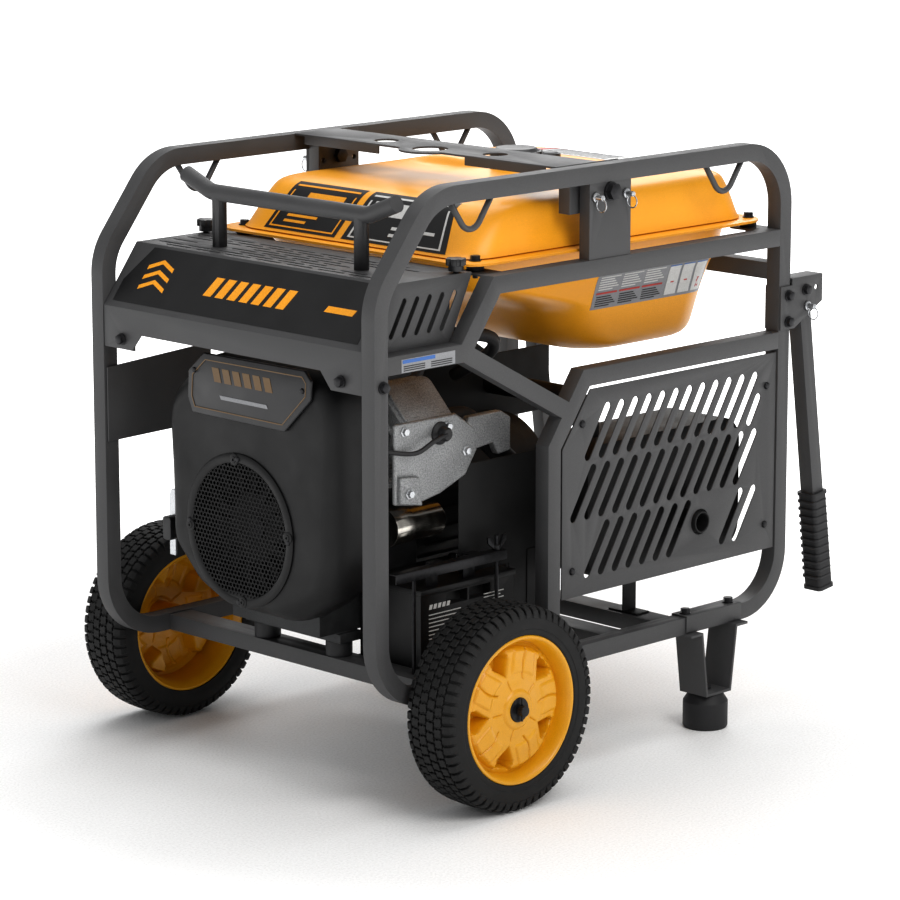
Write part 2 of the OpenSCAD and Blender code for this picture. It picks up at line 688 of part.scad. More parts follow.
// Local frame of a cylinder bank on the +Y side, Z outwards along the cylinder
module on_bank() {
    translate([bank_x, 0, crank_z]) rotate([-bank_angle, 0, 0]) translate([0, 0, bank_start]) children();
}
fin_count = 8;
head_w = 118;
head_d = 118;
module cylinders() color(silver) both_sides() difference() {
    on_bank() {
        cylinder(d = 92, h = head_z + 1);
        for (i = [0 : fin_count - 1])
            translate([-head_w / 2, -head_d / 2, 8 + i * 9]) cube([head_w, head_d, 3]);
        translate([-head_w / 2, -head_d / 2, head_z]) cube([head_w, head_d, head_h]);
    }
    translate([engine_x0 - 1, -case_w / 2, case_low]) cube([engine_len + 2, case_w, case_top - case_low]);
    on_bank() translate([0, 0, -1]) cylinder(d = 62, h = head_z);
}
module rocker_covers() color(silver) both_sides() on_bank() translate([0, 0, head_z + head_h]) {
    linear_extrude(5) round_rect(head_w, head_d, 12);
    translate([0, 0, 5]) linear_extrude(22) round_rect(head_w - 14, head_d - 30, 14);
    translate([0, 0, 27]) linear_extrude(5) round_rect(head_w - 26, head_d - 46, 12);
}
shroud_top = crank_z + 252;
shroud_low = crank_z - 128;
shroud_shift = -17;
// Outline of the shroud as [y, z] points; it is cut away more on the far side
function shroud_outline(w) = [
    [w * 0.56, shroud_top], [w, shroud_top - 66], [w, crank_z - 40], [w * 0.68, shroud_low + 26],
    [w * 0.36, shroud_low], [-w * 0.42, shroud_low], [-w * 0.9, shroud_low + 52], [-w, crank_z - 20],
    [-w, shroud_top - 34], [-w * 0.88, shroud_top]];
module shroud_block(w, x0, x1) {
    translate([x0, shroud_shift, 0]) rotate([90, 0, 90]) linear_extrude(x1 - x0) polygon(shroud_outline(w));
}
module blower_shroud() color(black) difference() {
    hull() {
        shroud_block(shroud_w / 2 - 22, shroud_x, shroud_x + 1);
        shroud_block(shroud_w / 2, shroud_x + 26, shroud_x + shroud_depth);
    }
    difference() {
        shroud_block(shroud_w / 2 - 4, shroud_x + 28, shroud_x + shroud_depth + 1);
        for (y = [-82, 82], z = [-82, 82]) translate([shroud_x, y, crank_z + z]) rotate([0, 90, 0])
            cylinder(d = 14, h = shroud_depth);
    }
    translate([shroud_x - 1, 0, crank_z]) rotate([0, 90, 0]) cylinder(d = grille_d - 14, h = shroud_depth);
}
grille_pitch = 18;
module intake_grille() color(black) translate([shroud_x - 4, 0, crank_z]) rotate([0, 90, 0]) difference() {
    cylinder(d = grille_d, h = 4);
    for (i = [-7 : 7], j = [-7 : 7]) {
        x = (i + (j % 2) / 2) * grille_pitch;
        y = j * grille_pitch * 0.866;
        if (norm([x, y]) < grille_d / 2 - 26) translate([x, y, -1]) cylinder(d = 14, h = 6, $fn = 6);
    }
}
badge_z = crank_z + 208;
// Outline of the badge cover as [y, z - badge_z] points
badge_outline = [[69, 48], [104, 18], [106, -21], [96, -44],
                 [-103, -45], [-158, 8], [-159, 36], [-146, 50]];
module badge_cover() color(black) translate([shroud_x - 6, 0, badge_z]) rotate([90, 0, 90])
    linear_extrude(6) polygon(badge_outline);
module crankshaft() color(silver) translate([engine_x0 - 40, 0, crank_z]) rotate([0, 90, 0]) {
    cylinder(d = shaft_d, h = engine_len + 60);
    translate([0, 0, 62]) cylinder(d = 120, h = 18);
    translate([0, 0, 130]) cylinder(d = 120, h = 18);
    translate([0, 0, engine_len + 60]) cylinder(d = 30, h = alternator_len + 6);
    translate([0, 0, engine_len + 100]) cylinder(d = 120, h = alternator_len - 110);
}
module flywheel_fan() color(silver) translate([engine_x0 - 40, 0, crank_z]) rotate([0, 90, 0]) {
    difference() {
        union() {
            translate([0, 0, 2]) cylinder(d = 170, h = 10);
            for (a = [0 : 24 : 336]) rotate(a) translate([52, -1.5, -12]) cube([46, 3, 15]);
        }
        translate([0, 0, -20]) cylinder(d = shaft_d, h = 60);
    }
}
starter_y = -146;
starter_z = crank_z + 2;
starter_x = front_x + 172;
module starter_motor() color(silver) {
    starter_can();
    starter_lug();
}
module starter_can() translate([starter_x, starter_y, starter_z]) rotate([0, 90, 0]) {
    cylinder(d = 56, h = 38);
    translate([0, 0, 38]) cylinder(d = 52, h = 62);
    translate([0, 0, 100]) cylinder(d = 30, h = 12);
    translate([0, 0, 112]) cylinder(d = 10, h = 10, $fn = 6);
}
module starter_lug() {
    translate([starter_x + 2, starter_y + 10, starter_z - 22]) cube([34, -case_w / 2 - starter_y - 10, 44]);
}
module air_cleaner() color(black) {
    translate([engine_x0 + 30, -52, case_top]) cube([120, 104, 55]);
    translate([engine_x0 + 20, -74, case_top + 55]) cube([190, 148, 32]);
    translate([engine_x0 + 22, -72, case_top + 87]) cube([186, 144, 2]);
    translate([engine_x0 + 20, -74, case_top + 89]) cube([190, 148, 26]);
}
muffler_x0 = engine_x0 + 390;
muffler_x1 = rear_x - 70;
muffler_z0 = frame_z + 108;
muffler_z1 = crank_z + 96;
muffler_y0 = 150;
muffler_mid_y = (muffler_y0 + rail_y - 12) / 2;
outlet_x = rear_x - 203;
outlet_z = frame_z + 172;
panel_y = half_w - 3.5;
module muffler() color([0.2, 0.2, 0.2]) mirror([0, 1, 0]) {
    translate([member_x[2] - 15, muffler_mid_y - 30, frame_z + member_h]) cube([30, 60, plate_t]);
    translate([member_x[2] - 15, muffler_mid_y - plate_t / 2, frame_z + member_h])
        cube([30, plate_t, muffler_z0 - frame_z - member_h + 1]);
    translate([(muffler_x0 + muffler_x1) / 2, muffler_y0, (muffler_z0 + muffler_z1) / 2])
        rotate([-90, 0, 0]) linear_extrude(rail_y - muffler_y0 - 12)
            round_rect(muffler_x1 - muffler_x0, muffler_z1 - muffler_z0, 40);
    translate([outlet_x, rail_y - 12, outlet_z]) rotate([-90, 0, 0]) difference() {
        cylinder(d = 34, h = half_w - rail_y + 12 + 4);
        translate([0, 0, 5]) cylinder(d = 28, h = 60);
    }
}
pipe_d = 34;
pipe_y = 160;
pipe_z = crank_z + 150;
port_x = bank_x + head_w / 2;
cross_x = muffler_x0 + 62;
near_pipe = [[port_x, pipe_z], [port_x + 72, pipe_z],
             [muffler_x0 - 26, crank_z + 36], [muffler_x0, crank_z + 36]];
far_pipe = [[port_x, pipe_y], [cross_x, pipe_y], [cross_x, 60]];
down_pipe = [[60, pipe_z], [-muffler_mid_y, pipe_z], [-muffler_mid_y, muffler_z1]];
pipe_bend = 40;
module exhaust_pipes() color(black) {
    translate([0, -pipe_y, 0]) rotate([90, 0, 0]) round_bar(near_pipe, pipe_bend, pipe_d);
    translate([0, 0, pipe_z]) round_bar(far_pipe, pipe_bend, pipe_d);
    translate([cross_x, 0, 0]) rotate([90, 0, 90]) round_bar(down_pipe, pipe_bend, pipe_d);
}
alt_x0 = engine_x0 + engine_len;
module alternator() color([0.35, 0.35, 0.36]) {
    alternator_case();
    difference() {
        union() {
            mount_foot(member_x[1]);
            for (s = [-1, 1])
                translate([member_x[1] - 15, s * 60 - 8, case_low + foot_t - 1]) cube([30, 16, 100]);
        }
        translate([alt_x0, 0, crank_z]) rotate([0, 90, 0])
            cylinder(d = alternator_d - 6, h = alternator_len);
    }
}
module alternator_case() translate([alt_x0, 0, crank_z]) rotate([0, 90, 0]) {
    difference() {
        union() {
            cylinder(d = alternator_d, h = alternator_len);
            for (a = [0 : 15 : 345])
                rotate(a) translate([alternator_d / 2 - 4, -2, 20]) cube([8, 4, alternator_len - 60]);
        }
        translate([0, 0, 8]) cylinder(d = 150, h = alternator_len - 20);
        translate([0, 0, -1]) cylinder(d = shaft_d + 6, h = 20);
        translate([0, 0, alternator_len - 20]) cylinder(d = 34, h = 40);
    }
    translate([0, 0, alternator_len]) difference() {
        cylinder(d = alternator_d - 14, h = 34);
        translate([0, 0, -1]) cylinder(d = alternator_d - 20, h = 32);
    }
}

// ---- Side panel ----
panel_t = 2;
panel_gap = 5;
panel_x1 = rear_x - tube - 3;
panel_low = frame_z + 103;
panel_outline = let (a = side_line(panel_path, -tube / 2 - panel_gap))
    [[a[0][0], panel_low], a[1], a[2], [panel_x1, a[3][1]], [panel_x1, panel_low]];
slot_pitch = 30.5;
slot_lean = 43;
slot_rise = 70;
slot_w = 13;
panel_screw = let (x0 = front_x + panel_post_setback + 40, x1 = rear_x - 51)
    [[x0 + 20, panel_rail_z - 68], [x1, panel_rail_z - 68], [x1, panel_low + 40], [x0, panel_low + 40]];
slot_x0 = panel_x1 - 92;
row_z = [panel_rail_z - 119, panel_rail_z - 208, panel_rail_z - 297];
module panel_slots() {
    for (i = [0 : 11]) slot([slot_x0 - i * slot_pitch, row_z[0]],
                            [slot_x0 - i * slot_pitch + slot_lean, row_z[0] + slot_rise], slot_w);
    slot([slot_x0 + slot_pitch, row_z[0]], [slot_x0 + slot_pitch + 20, row_z[0] + 35], slot_w);
    for (i = [0 : 12]) slot([slot_x0 - i * slot_pitch, row_z[1]],
                            [slot_x0 - i * slot_pitch + slot_lean, row_z[1] + slot_rise], slot_w);
    for (i = [0, 1, 5, 6, 7, 8, 9, 10, 11]) slot([slot_x0 - i * slot_pitch, row_z[2]],
                            [slot_x0 - i * slot_pitch + slot_lean, row_z[2] + slot_rise], slot_w);
}
module side_panel() color(steel) mirror([0, 1, 0]) difference() {
    union() {
        upright(panel_y, panel_t) difference() {
            polygon(panel_outline);
            panel_slots();
            translate([outlet_x, outlet_z]) circle(d = 40);
        }
        for (p = panel_screw)
            translate([p[0], panel_y - 12, p[1]]) rotate([-90, 0, 0]) cylinder(d = 14, h = 12);
    }
    for (p = panel_screw)
        translate([p[0], panel_y - 20, p[1]]) rotate([-90, 0, 0]) cylinder(d = 5.6, h = 40);
}
module panel_screws() color(steel) {
    mirror([0, 1, 0]) for (p = panel_screw)
        translate([p[0], panel_y + panel_t, p[1]]) rotate([-90, 0, 0]) screw();
    for (a = [0 : 90 : 270]) translate([shroud_x - 4, 0, crank_z]) rotate([0, -90, 0]) rotate(a)
        translate([grille_d / 2 - 8, 0, 0]) small_head();
    for (y = [-142, 90]) translate([shroud_x - 6, y, badge_z + 20]) rotate([0, -90, 0]) small_head();
    for (x = [control_x0 + 10, control_x1 - 10], z = [control_z0 + 10, control_z1 - 10])
        translate([x, control_face + 2, z]) rotate([-90, 0, 0]) small_head();
}
module screw() {
    translate([0, 0, -9]) cylinder(d = 5, h = 9);
    cylinder(d1 = 12, d2 = 9, h = 3.5);
}
module small_head() {
    cylinder(d1 = 9, d2 = 7, h = 2.4);
}

// ---- Battery ----
battery_x = front_x + 168;
battery_y0 = 97;
tray_t = 2;
tray_z = frame_z + 0.5;
battery_z = tray_z + tray_t;
module battery() color(black) mirror([0, 1, 0]) {
    difference() {
        translate([battery_x, battery_y0, battery_z]) cube([battery_len, battery_w, battery_h - 12]);
        for (i = [0, 1])
            translate([battery_x + 52 + 48 * i, battery_y0 + battery_w - 16, battery_z + battery_h - 34])
                cube([44, 17, 18]);
    }
    translate([battery_x - 2, battery_y0 - 2, battery_z + battery_h - 12])
        cube([battery_len + 4, battery_w + 4, 8]);
    for (x = [24, battery_len - 24]) translate([battery_x + x, battery_y0 + 24, battery_z + battery_h - 4])
        cylinder(d = 12, h = 10);
}
tray_rim = 22;
shield_h = 164;
module battery_tray() color(steel) mirror([0, 1, 0]) {
    difference() {
        translate([battery_x - 4, battery_y0 - 5, tray_z])
            cube([battery_len + 9, rail_y - battery_y0 + 5, tray_rim]);
        translate([battery_x - 2, battery_y0 - 3, tray_z + tray_t])
            cube([battery_len + 5, rail_y, tray_rim]);
    }
    translate([shield_x, shield_y, battery_z + battery_h]) cube([shield_len, tray_t, shield_h]);
    translate([battery_x + battery_len + 10, shield_y, tray_z]) cube([40, tray_t, battery_h + 6]);
    translate([battery_x + battery_len + 10, shield_y, tray_z]) cube([40, rail_y - shield_y, plate_t]);
}
shield_x = battery_x + 98;
shield_y = 203;
shield_len = 166;
bar_z = battery_z + battery_h + 33;
bar_x = battery_x - 70;
bar_len = 228;
bar_y0 = battery_y0 + battery_w + 3;
rod_d = 6;
nut_x = bar_x + bar_len - 12;
nut_y = bar_y0 + 8;
module battery_hold_down() color(steel) mirror([0, 1, 0]) {
    difference() {
        union() {
            translate([bar_x, bar_y0, bar_z]) cube([bar_len, 18, tray_t]);
            translate([bar_x, bar_y0 + 16, bar_z - 12]) cube([bar_len, tray_t, 14]);
            for (x = [bar_x + 90, nut_x - 50]) translate([x, bar_y0 - 14, bar_z]) {
                cube([24, 15, tray_t]);
                translate([0, 0, battery_z + battery_h - 4 - bar_z])
                    cube([24, tray_t, bar_z - battery_z - battery_h + 5]);
            }
        }
        translate([nut_x, nut_y, bar_z - 10]) cylinder(d = rod_d + 0.16, h = 30);
    }
    translate([nut_x, nut_y, tray_z + tray_t]) cylinder(d = rod_d, h = bar_z - tray_z + 22);
    translate([member_x[0], nut_y, frame_z + member_h])
        cylinder(d = rod_d, h = bar_z - frame_z - member_h + 1);
}
module wing_nut() color(steel) mirror([0, 1, 0]) translate([nut_x, nut_y, bar_z + 2.2]) difference() {
    union() {
        cylinder(d = 13, h = 8);
        for (s = [-1, 1]) hull() {
            translate([s * 5, -1.5, 1]) cube([1, 3, 6]);
            translate([s * 16 - 3, -1.5, 12]) cube([6, 3, 9]);
        }
    }
    translate([0, 0, -1]) cylinder(d = rod_d + 0.16, h = 12);
}

// ---- Wheels ----
hub_d = 46;
hub_in = tyre_in + 4;
hub_out = tyre_in + tyre_w - 8;
lip_out = tyre_in + tyre_w - 2;
module axle() color(steel) translate([axle_x, -hub_out - 14, axle_z]) rotate([-90, 0, 0])
    cylinder(d = axle_d, h = 2 * hub_out + 28);
module wheel_retainers() color(steel) both_sides() translate([axle_x, 0, axle_z]) rotate([-90, 0, 0]) {
    translate([0, 0, hub_out + 0.3]) washer(32, 2.5);
    translate([0, 0, half_w + 0.5]) washer(30, hub_in - half_w - 0.8);
    translate([0, 0, hub_out + 7]) rotate([90, 0, 0]) difference() {
        translate([0, 0, -16]) cylinder(d = 3.2, h = 34);
        translate([0, 0, -axle_d / 2 - 0.02]) cylinder(d = 6, h = axle_d + 0.04);
    }
}
module washer(d, h) difference() {
    cylinder(d = d, h = h);
    translate([0, 0, -1]) cylinder(d = axle_d + 0.1, h = h + 2);
}
module rim(s) color(amber) on_side(s) translate([axle_x, 0, axle_z]) rotate([-90, 0, 0]) difference() {
    union() {
        rotate_extrude($fn = 96) polygon([
            [rim_d / 2 - 12, tyre_in + 10], [rim_d / 2, tyre_in + 4],
            [rim_d / 2, tyre_in + 7], [rim_d / 2 - 9, tyre_in + 14],
            [rim_d / 2 - 9, lip_out - 14], [rim_d / 2, lip_out - 6],
            [rim_d / 2, lip_out], [rim_d / 2 - 5, lip_out],
            [rim_d / 2 - 13, lip_out - 12], [rim_d / 2 - 15, lip_out - 36],
            [hub_d / 2 + 8, lip_out - 26], [hub_d / 2 - 4, hub_out],
            [axle_d / 2 - 1, hub_out], [axle_d / 2 - 1, hub_in],
            [hub_d / 2, hub_in], [hub_d / 2 + 4, lip_out - 34], [rim_d / 2 - 18, lip_out - 44]]);
    }
    cylinder(d = axle_d + 2 * axle_fit, h = 1000);
    for (a = [36 : 72 : 324]) rotate(a) translate([0, 0, lip_out - 60]) linear_extrude(80) intersection() {
        difference() {
            circle(r = rim_d / 2 - 20);
            circle(r = hub_d / 2 + 22);
        }
        polygon([[0, 0], [140, 28], [140, -28]]);
    }
}
module rim_left() rim(-1);
module rim_right() rim(1);
tread_depth = 6;
module tyre(s) color([0.12, 0.12, 0.12]) on_side(s)
translate([axle_x, 0, axle_z]) rotate([-90, 0, 0]) difference() {
    rotate_extrude($fn = 120) polygon([
        [rim_d / 2 - 8.7, tyre_in + 15], [rim_d / 2 + 1, tyre_in + 7], [rim_d / 2 + 1, tyre_in + 2],
        [wheel_d / 2 - 22, tyre_in], [wheel_d / 2 - 9, tyre_in + 5], [wheel_d / 2, tyre_in + 24],
        [wheel_d / 2, tyre_in + tyre_w - 24], [wheel_d / 2 - 9, tyre_in + tyre_w - 5],
        [wheel_d / 2 - 22, tyre_in + tyre_w], [rim_d / 2 + 1, tyre_in + tyre_w - 1],
        [rim_d / 2 + 0.3, lip_out - 6], [rim_d / 2 - 8.7, lip_out - 14.3]]);
    for (z = [30, tyre_w / 2 - 2, tyre_w - 34]) translate([0, 0, tyre_in + z]) difference() {
        cylinder(d = wheel_d + 2, h = 4, $fn = 120);
        cylinder(d = wheel_d - tread_depth, h = 4, $fn = 120);
    }
}
module tyre_left() tyre(-1);
module tyre_right() tyre(1);

// ---- Feet ----
leg_w = 55;
leg_t = 4;
leg_top = 40;
leg_low = 27;
module foot_leg() {
    flange_out = foot_bolt_dx + 16;
    high = frame_z - leg_t / 2;
    low = foot_h + leg_t / 2;
    path = [[-flange_out, high], [-leg_top, high], [-leg_low, low],
            [leg_low, low], [leg_top, high], [flange_out, high]];
    translate([foot_x, 0, 0]) upright(bar_y - leg_w / 2, leg_w) mitred_bar(path, leg_t / 2);
}
module saddle() {
    sx = foot_bolt_dx + 14;
    difference() {
        translate([foot_x - sx, rail_y - saddle_t - 0.2, frame_z + 3])
            cube([2 * sx, tube + 2 * saddle_t + 0.4, tube - 3 + saddle_t]);
        translate([foot_x - sx - 1, rail_y - 0.2, frame_z]) cube([2 * sx + 2, tube + 0.4, tube]);
    }
}
module foot_brackets() color(steel) both_sides() difference() {
    union() {
        foot_leg();
        saddle();
    }
    at_foot_bolts() bolt_hole(foot_bolt_len + 4);
    translate([foot_x, bar_y, foot_h - 1]) cylinder(d = 10.6, h = 10);
}
module rubber_feet() color(black) both_sides() translate([foot_x, bar_y, 0]) {
    rotate_extrude() polygon([[0, 0], [foot_d / 2 - 2, 0], [foot_d / 2, 3], [foot_d / 2, foot_h - 14],
                              [foot_d / 2 - 9, foot_h], [0, foot_h]]);
    translate([0, 0, foot_h]) cylinder(d = 10, h = leg_t + 2);
    translate([0, 0, foot_h + leg_t]) cylinder(d = 17, h = 6, $fn = 6);
}

// ---- Handles ----
lock_arm = 26;
function arm_point(s) = [pivot_x + s * sin(handle_tilt), pivot_z - s * cos(handle_tilt)];
lock_place = arm_point(lock_arm);
stow_hole = [pivot_x + lock_arm, pivot_z + 1];
bracket_top = pivot_z + 21;
bracket_end = pivot_x + 41;
bracket_outline = [[rear_x - tube + 1, pivot_z - 58], [rear_x + 8, pivot_z - 58],
                   [pivot_x + 22, pivot_z - 32], [bracket_end, pivot_z - 22],
                   [bracket_end, bracket_top], [rear_x + 2, bracket_top],
                   [rear_x + 2, pivot_z + 10], [rear_x - tube + 1, pivot_z + 10]];
module handle_bracket() {
    difference() {
        union() {
            upright(half_w, plate_t) polygon(bracket_outline);
            upright(rail_y - plate_t, plate_t) polygon(bracket_outline);
            translate([rear_x + 2, rail_y, bracket_top - plate_t])
                cube([bracket_end - rear_x - 2, tube, plate_t]);
        }
        at_handle_bolts() bolt_hole(handle_bolt_len + 4);
        translate([pivot_x, 0, pivot_z]) rotate([-90, 0, 0]) cylinder(d = bolt_d + 0.16, h = half_w + 20);
        for (p = [stow_hole, lock_place]) translate([p[0], 0, p[1]]) rotate([-90, 0, 0])
            cylinder(d = pin_d + 2 * pin_fit, h = half_w + 20);
    }
}
module handle_brackets() color(steel) both_sides() handle_bracket();
// Draws along the arm: local -Z runs down the stored handle
module along_handle() {
    translate([pivot_x, bar_y, pivot_z]) rotate([0, -handle_tilt, 0]) children();
}
arm_end = handle_len - 8;
arm_wall = 2;
module handle_arm(s) color(steel) on_side(s) along_handle() difference() {
    translate([-arm / 2, -arm / 2, -arm_end]) cube([arm, arm, arm_end + 10]);
    translate([-arm / 2 + arm_wall, -arm / 2 + arm_wall, -arm_end - 1])
        cube([arm - 2 * arm_wall, arm - 2 * arm_wall, arm_end - 30]);
    rotate([90, 0, 0]) cylinder(d = bolt_d + 0.16, h = arm + 2, center = true);
}
module handle_arm_left() handle_arm(-1);
module handle_arm_right() handle_arm(1);
module handle_grip(s) color(black) on_side(s) along_handle() difference() {
    union() {
        translate([0, 0, -handle_len]) linear_extrude(grip_len) round_rect(grip_w - 1, grip_w - 1, 7);
        translate([0, 0, -handle_len]) linear_extrude(6) round_rect(grip_w + 2, grip_w + 2, 7);
        translate([0, 0, -handle_len + grip_len - 5])
            linear_extrude(5) round_rect(grip_w + 2, grip_w + 2, 7);
    }
    translate([-arm / 2 - 0.05, -arm / 2 - 0.05, -arm_end - 0.05]) cube([arm + 0.1, arm + 0.1, handle_len]);
}
module handle_grip_left() handle_grip(-1);
module handle_grip_right() handle_grip(1);
module lock_pin(s) color(silver) on_side(s)
    translate([lock_place[0], half_w + plate_t, lock_place[1]]) rotate([-90, 0, 0])
        ring_pin(plate_t - 0.3 + (tube - arm) / 2);
module lock_pin_left() lock_pin(-1);
module lock_pin_right() lock_pin(1);

// ---- Control panel on the right side ----
control_x0 = front_x + panel_post_setback + 40;
control_x1 = rear_x - tube - 14;
control_z0 = panel_rail_z + tube / 2 + 4;
control_z1 = mid_rail_z - tube / 2 - 4;
control_face = half_w - 4;
control_depth = 62;
outlet_places = [for (i = [0 : 4]) [control_x0 + 150 + i * 56, (control_z0 + control_z1) / 2 - 14]];
outlet_d = 38;
button_place = [control_x0 + 44, control_z1 - 34];
button_d = 22;
// Stands a child on the control panel's face at [x, z], its Z pointing outwards
module at_control(p, lift) {
    translate([p[0], control_face + lift, p[1]]) rotate([-90, 0, 0]) children();
}
module control_panel() color(black) difference() {
    union() {
        upright(control_face - 2, 2)
            translate([(control_x0 + control_x1) / 2, (control_z0 + control_z1) / 2])
                round_rect(control_x1 - control_x0, control_z1 - control_z0, 8);
        difference() {
            translate([control_x0 + 4, control_face - control_depth, control_z0 + 4])
                cube([control_x1 - control_x0 - 8, control_depth - 2, control_z1 - control_z0 - 8]);
            translate([control_x0 + 6, control_face - control_depth + 2, control_z0 + 6])
                cube([control_x1 - control_x0 - 12, control_depth - 3, control_z1 - control_z0 - 12]);
        }
    }
    for (p = outlet_places) at_control(p, -10) cylinder(d = outlet_d + 0.6, h = 20);
    at_control(button_place, -10) cylinder(d = button_d - 4 + 0.5, h = 20);
}
module outlets() color(black) for (p = outlet_places) at_control(p, -20) difference() {
    union() {
        cylinder(d = outlet_d, h = 23);
        translate([0, 0, 20.2]) cylinder(d = outlet_d + 8, h = 3);
    }
    for (a = [0 : 120 : 240]) rotate(a) translate([8, -1.5, 13]) cube([4, 3, 20]);
}
module start_button() color([0.7, 0.1, 0.08]) at_control(button_place, 0) {
    translate([0, 0, -14]) cylinder(d = button_d - 4, h = 18);
    translate([0, 0, 4]) cylinder(d = button_d, h = 5);
}

// ---- Fasteners shared by the frame's pieces ----
module flange_bolts() color(steel) {
    at_tank_bolts() flange_bolt(tank_bolt_len);
    at_hood_bolts() flange_bolt(hood_bolt_len);
    at_post_bolts() flange_bolt(tube - 2);
    at_handle_bolts() flange_bolt(handle_bolt_len);
    at_foot_bolts() flange_bolt(foot_bolt_len);
    at_pivot_bolts() flange_bolt(handle_bolt_len);
}

side_loop_left();
side_loop_right();
inner_rails_left();
inner_rails_right();
tie_hooks();
cross_members();
lifting_bracket();
lifting_bolts();
fuel_tank_upper();
fuel_tank_lower();
fuel_gauge();
tank_bushings();
flange_bolts();
panel_screws();
hood();
grab_handle();
engine_mounts();
crankcase();
cylinders();
rocker_covers();
blower_shroud();
intake_grille();
badge_cover();
starter_motor();
air_cleaner();
exhaust_pipes();
muffler();
alternator();
side_panel();
battery();
battery_tray();
battery_hold_down();
axle();
wheel_retainers();
foot_brackets();
rubber_feet();
handle_brackets();
control_panel();
outlets();
fuel_cap();
rim_left();
rim_right();
tyre_left();
tyre_right();
handle_arm_left();
handle_arm_right();
handle_grip_left();
handle_grip_right();
lock_pin_left();
lock_pin_right();
lift_pin_left_front();
lift_pin_left_rear();
lift_pin_right_front();
lift_pin_right_rear();
crankshaft();
flywheel_fan();
hood_knob_left();
hood_knob_right();
start_button();
wing_nut();
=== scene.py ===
import json
import math

import bpy
from bpy.props import FloatProperty, FloatVectorProperty, IntProperty, PointerProperty
from mathutils import Matrix, Vector

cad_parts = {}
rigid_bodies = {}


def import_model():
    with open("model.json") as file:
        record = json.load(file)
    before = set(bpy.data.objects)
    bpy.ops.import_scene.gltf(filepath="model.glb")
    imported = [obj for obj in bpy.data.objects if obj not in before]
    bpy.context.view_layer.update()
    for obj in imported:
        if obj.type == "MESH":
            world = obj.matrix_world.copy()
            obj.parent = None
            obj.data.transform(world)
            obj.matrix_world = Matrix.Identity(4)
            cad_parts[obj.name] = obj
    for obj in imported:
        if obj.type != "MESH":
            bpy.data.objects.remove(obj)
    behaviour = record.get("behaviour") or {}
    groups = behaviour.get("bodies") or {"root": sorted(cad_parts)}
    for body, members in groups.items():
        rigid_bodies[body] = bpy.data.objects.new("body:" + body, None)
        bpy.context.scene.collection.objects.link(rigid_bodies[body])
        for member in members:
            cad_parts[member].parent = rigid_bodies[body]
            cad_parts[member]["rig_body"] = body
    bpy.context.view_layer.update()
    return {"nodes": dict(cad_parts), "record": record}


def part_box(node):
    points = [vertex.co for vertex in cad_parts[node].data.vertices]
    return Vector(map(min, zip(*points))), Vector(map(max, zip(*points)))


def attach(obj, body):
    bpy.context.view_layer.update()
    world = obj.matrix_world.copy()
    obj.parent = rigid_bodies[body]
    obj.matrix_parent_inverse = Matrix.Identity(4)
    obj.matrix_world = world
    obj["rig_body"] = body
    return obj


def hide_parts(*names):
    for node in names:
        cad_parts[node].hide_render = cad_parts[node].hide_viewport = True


bl_info = {
    "name": "Portable generator finish",
    "version": (1, 0, 0),
    "blender": (4, 5, 0),
    "location": "View3D > Sidebar > Generator",
    "description": "Gives the generator's frame, engine, tank and wheels their finish",
    "category": "Object",
}

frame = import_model()
MM = 0.001


# ---- Colours and node trees ----

def linear(hex_colour):
    """sRGB hex to the linear values that shaders use."""
    parts = [int(hex_colour[i:i + 2], 16) / 255 for i in (0, 2, 4)]
    return tuple(c / 12.92 if c <= 0.04045 else ((c + 0.055) / 1.055) ** 2.4 for c in parts) + (1.0,)


def add_node(tree, kind, inputs=None, **settings):
    """Adds one node, sets its properties, and sets or links its inputs."""
    node = tree.nodes.new(kind)
    for name, value in settings.items():
        setattr(node, name, value)
    for name, value in (inputs or {}).items():
        if isinstance(value, bpy.types.NodeSocket):
            tree.links.new(value, node.inputs[name])
        else:
            node.inputs[name].default_value = value
    return node


def new_material(name):
    material = bpy.data.materials.new(name)
    material.use_nodes = True
    material.node_tree.nodes.clear()
    return material, material.node_tree


